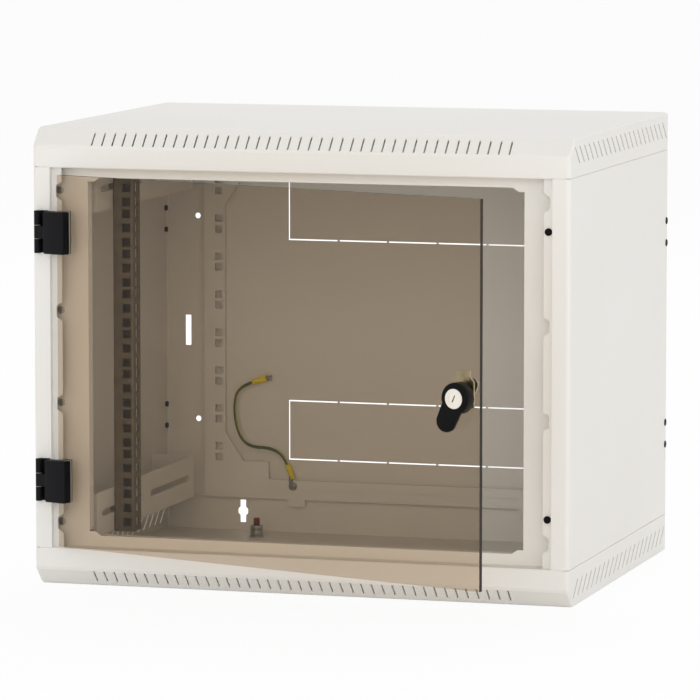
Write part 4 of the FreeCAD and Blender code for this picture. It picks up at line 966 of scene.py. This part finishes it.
# %% Floor
FLOOR_SIZE, FLOOR_PLACE, FLOOR_SHARE = 80, (0, 20, -0.0004), 0.92
select_only()
bpy.ops.mesh.primitive_plane_add(size=FLOOR_SIZE, location=FLOOR_PLACE)
floor = bpy.context.object
floor.name = "floor"
floor_paint, floor_tree = new_material("studio_floor")
matte = add_node(floor_tree, "ShaderNodeBsdfDiffuse", {"Color": srgb("#f9f9f9")})
bright = add_node(floor_tree, "ShaderNodeEmission", {"Color": WHITE, "Strength": 1.0})
mostly = add_node(floor_tree, "ShaderNodeMath", {
    0: white_to_camera(floor_tree), 1: FLOOR_SHARE}, operation="MULTIPLY")
blend = add_node(floor_tree, "ShaderNodeMixShader", {
    0: mostly.outputs[0], 1: matte.outputs[0], 2: bright.outputs[0]})
add_node(floor_tree, "ShaderNodeOutputMaterial", {"Surface": blend.outputs[0]})
floor.data.materials.append(floor_paint)
print("made", floor.name, "with", floor_paint.name)

# %% [markdown]
# Soft boxes stand in front and on both sides for shape, and one behind lifts the roof.  They are
# kept out of mirror images, so that no face burns out.

# %% Lamps
LAMP_AIM = Vector((0, 0, 0.25))
# Name, place and size in metres, and power in watts.
LAMPS = (("front_box", (0.6, -4.2, 1.0), 2.6, 54), ("left_box", (-3.6, -2.4, 0.3), 2.4, 26),
         ("right_box", (4.2, -1.0, 1.0), 2.4, 36), ("rear_box", (-0.3, 2.4, 3.6), 2.4, 41))
for name, place, size, watts in LAMPS:
    bpy.ops.object.light_add(type="AREA", location=place)
    lamp = bpy.context.object
    lamp.name = name
    lamp.rotation_euler = (LAMP_AIM - Vector(place)).to_track_quat("-Z", "Y").to_euler()
    lamp.data.size = size
    lamp.data.energy = watts
    lamp.visible_glossy = False
    print("lamp", name, "of", watts, "watts")

# %% [markdown]
# Openings in the rear wall would look brown through the pane.  Photographers put a lit white card
# close behind the product, so that they burn out to white.  This card faces the front and is clear
# from behind, and to all rays but the camera's, so it lights nothing and hides nothing.

# %% Card behind the cabinet
CARD_PLACE, CARD_SCALE, CARD_LIFT = (0, 0.2275, 0.25), (0.59, 0.49, 1), 1.25
# A ray that has passed both faces of the pane counts two clear surfaces.
PANE_PASSED = 1.5
through_pane = [CARD_LIFT / c ** 2 for c in FACE_TINT[:3]]
select_only()
bpy.ops.mesh.primitive_plane_add(size=1, location=CARD_PLACE, rotation=AXIS_TURN["Y"])
card = bpy.context.object
card.name = "white_card"
card.scale = CARD_SCALE
card_paper, card_tree = new_material("lit_card")
card_path = add_node(card_tree, "ShaderNodeLightPath")
passed = add_node(card_tree, "ShaderNodeMath", {
    0: card_path.outputs["Transparent Depth"], 1: PANE_PASSED}, operation="GREATER_THAN")
white = add_node(card_tree, "ShaderNodeMix", {
    "Factor": passed.outputs[0], "A": WHITE, "B": (*through_pane, 1)}, data_type="RGBA")
glow = add_node(card_tree, "ShaderNodeEmission", {
    "Color": white.outputs["Result"], "Strength": 1.0})
turned_away = add_node(card_tree, "ShaderNodeNewGeometry").outputs["Backfacing"]
front_side = add_node(card_tree, "ShaderNodeMath", {0: 1.0, 1: turned_away}, operation="SUBTRACT")
seen = add_node(card_tree, "ShaderNodeMath", {
    0: front_side.outputs[0], 1: card_path.outputs["Is Camera Ray"]}, operation="MULTIPLY")
clear = add_node(card_tree, "ShaderNodeBsdfTransparent", {"Color": WHITE})
card_mix = add_node(card_tree, "ShaderNodeMixShader", {
    0: seen.outputs[0], 1: clear.outputs["BSDF"], 2: glow.outputs["Emission"]})
add_node(card_tree, "ShaderNodeOutputMaterial", {"Surface": card_mix.outputs["Shader"]})
card.data.materials.append(card_paper)
print("card behind the cabinet")
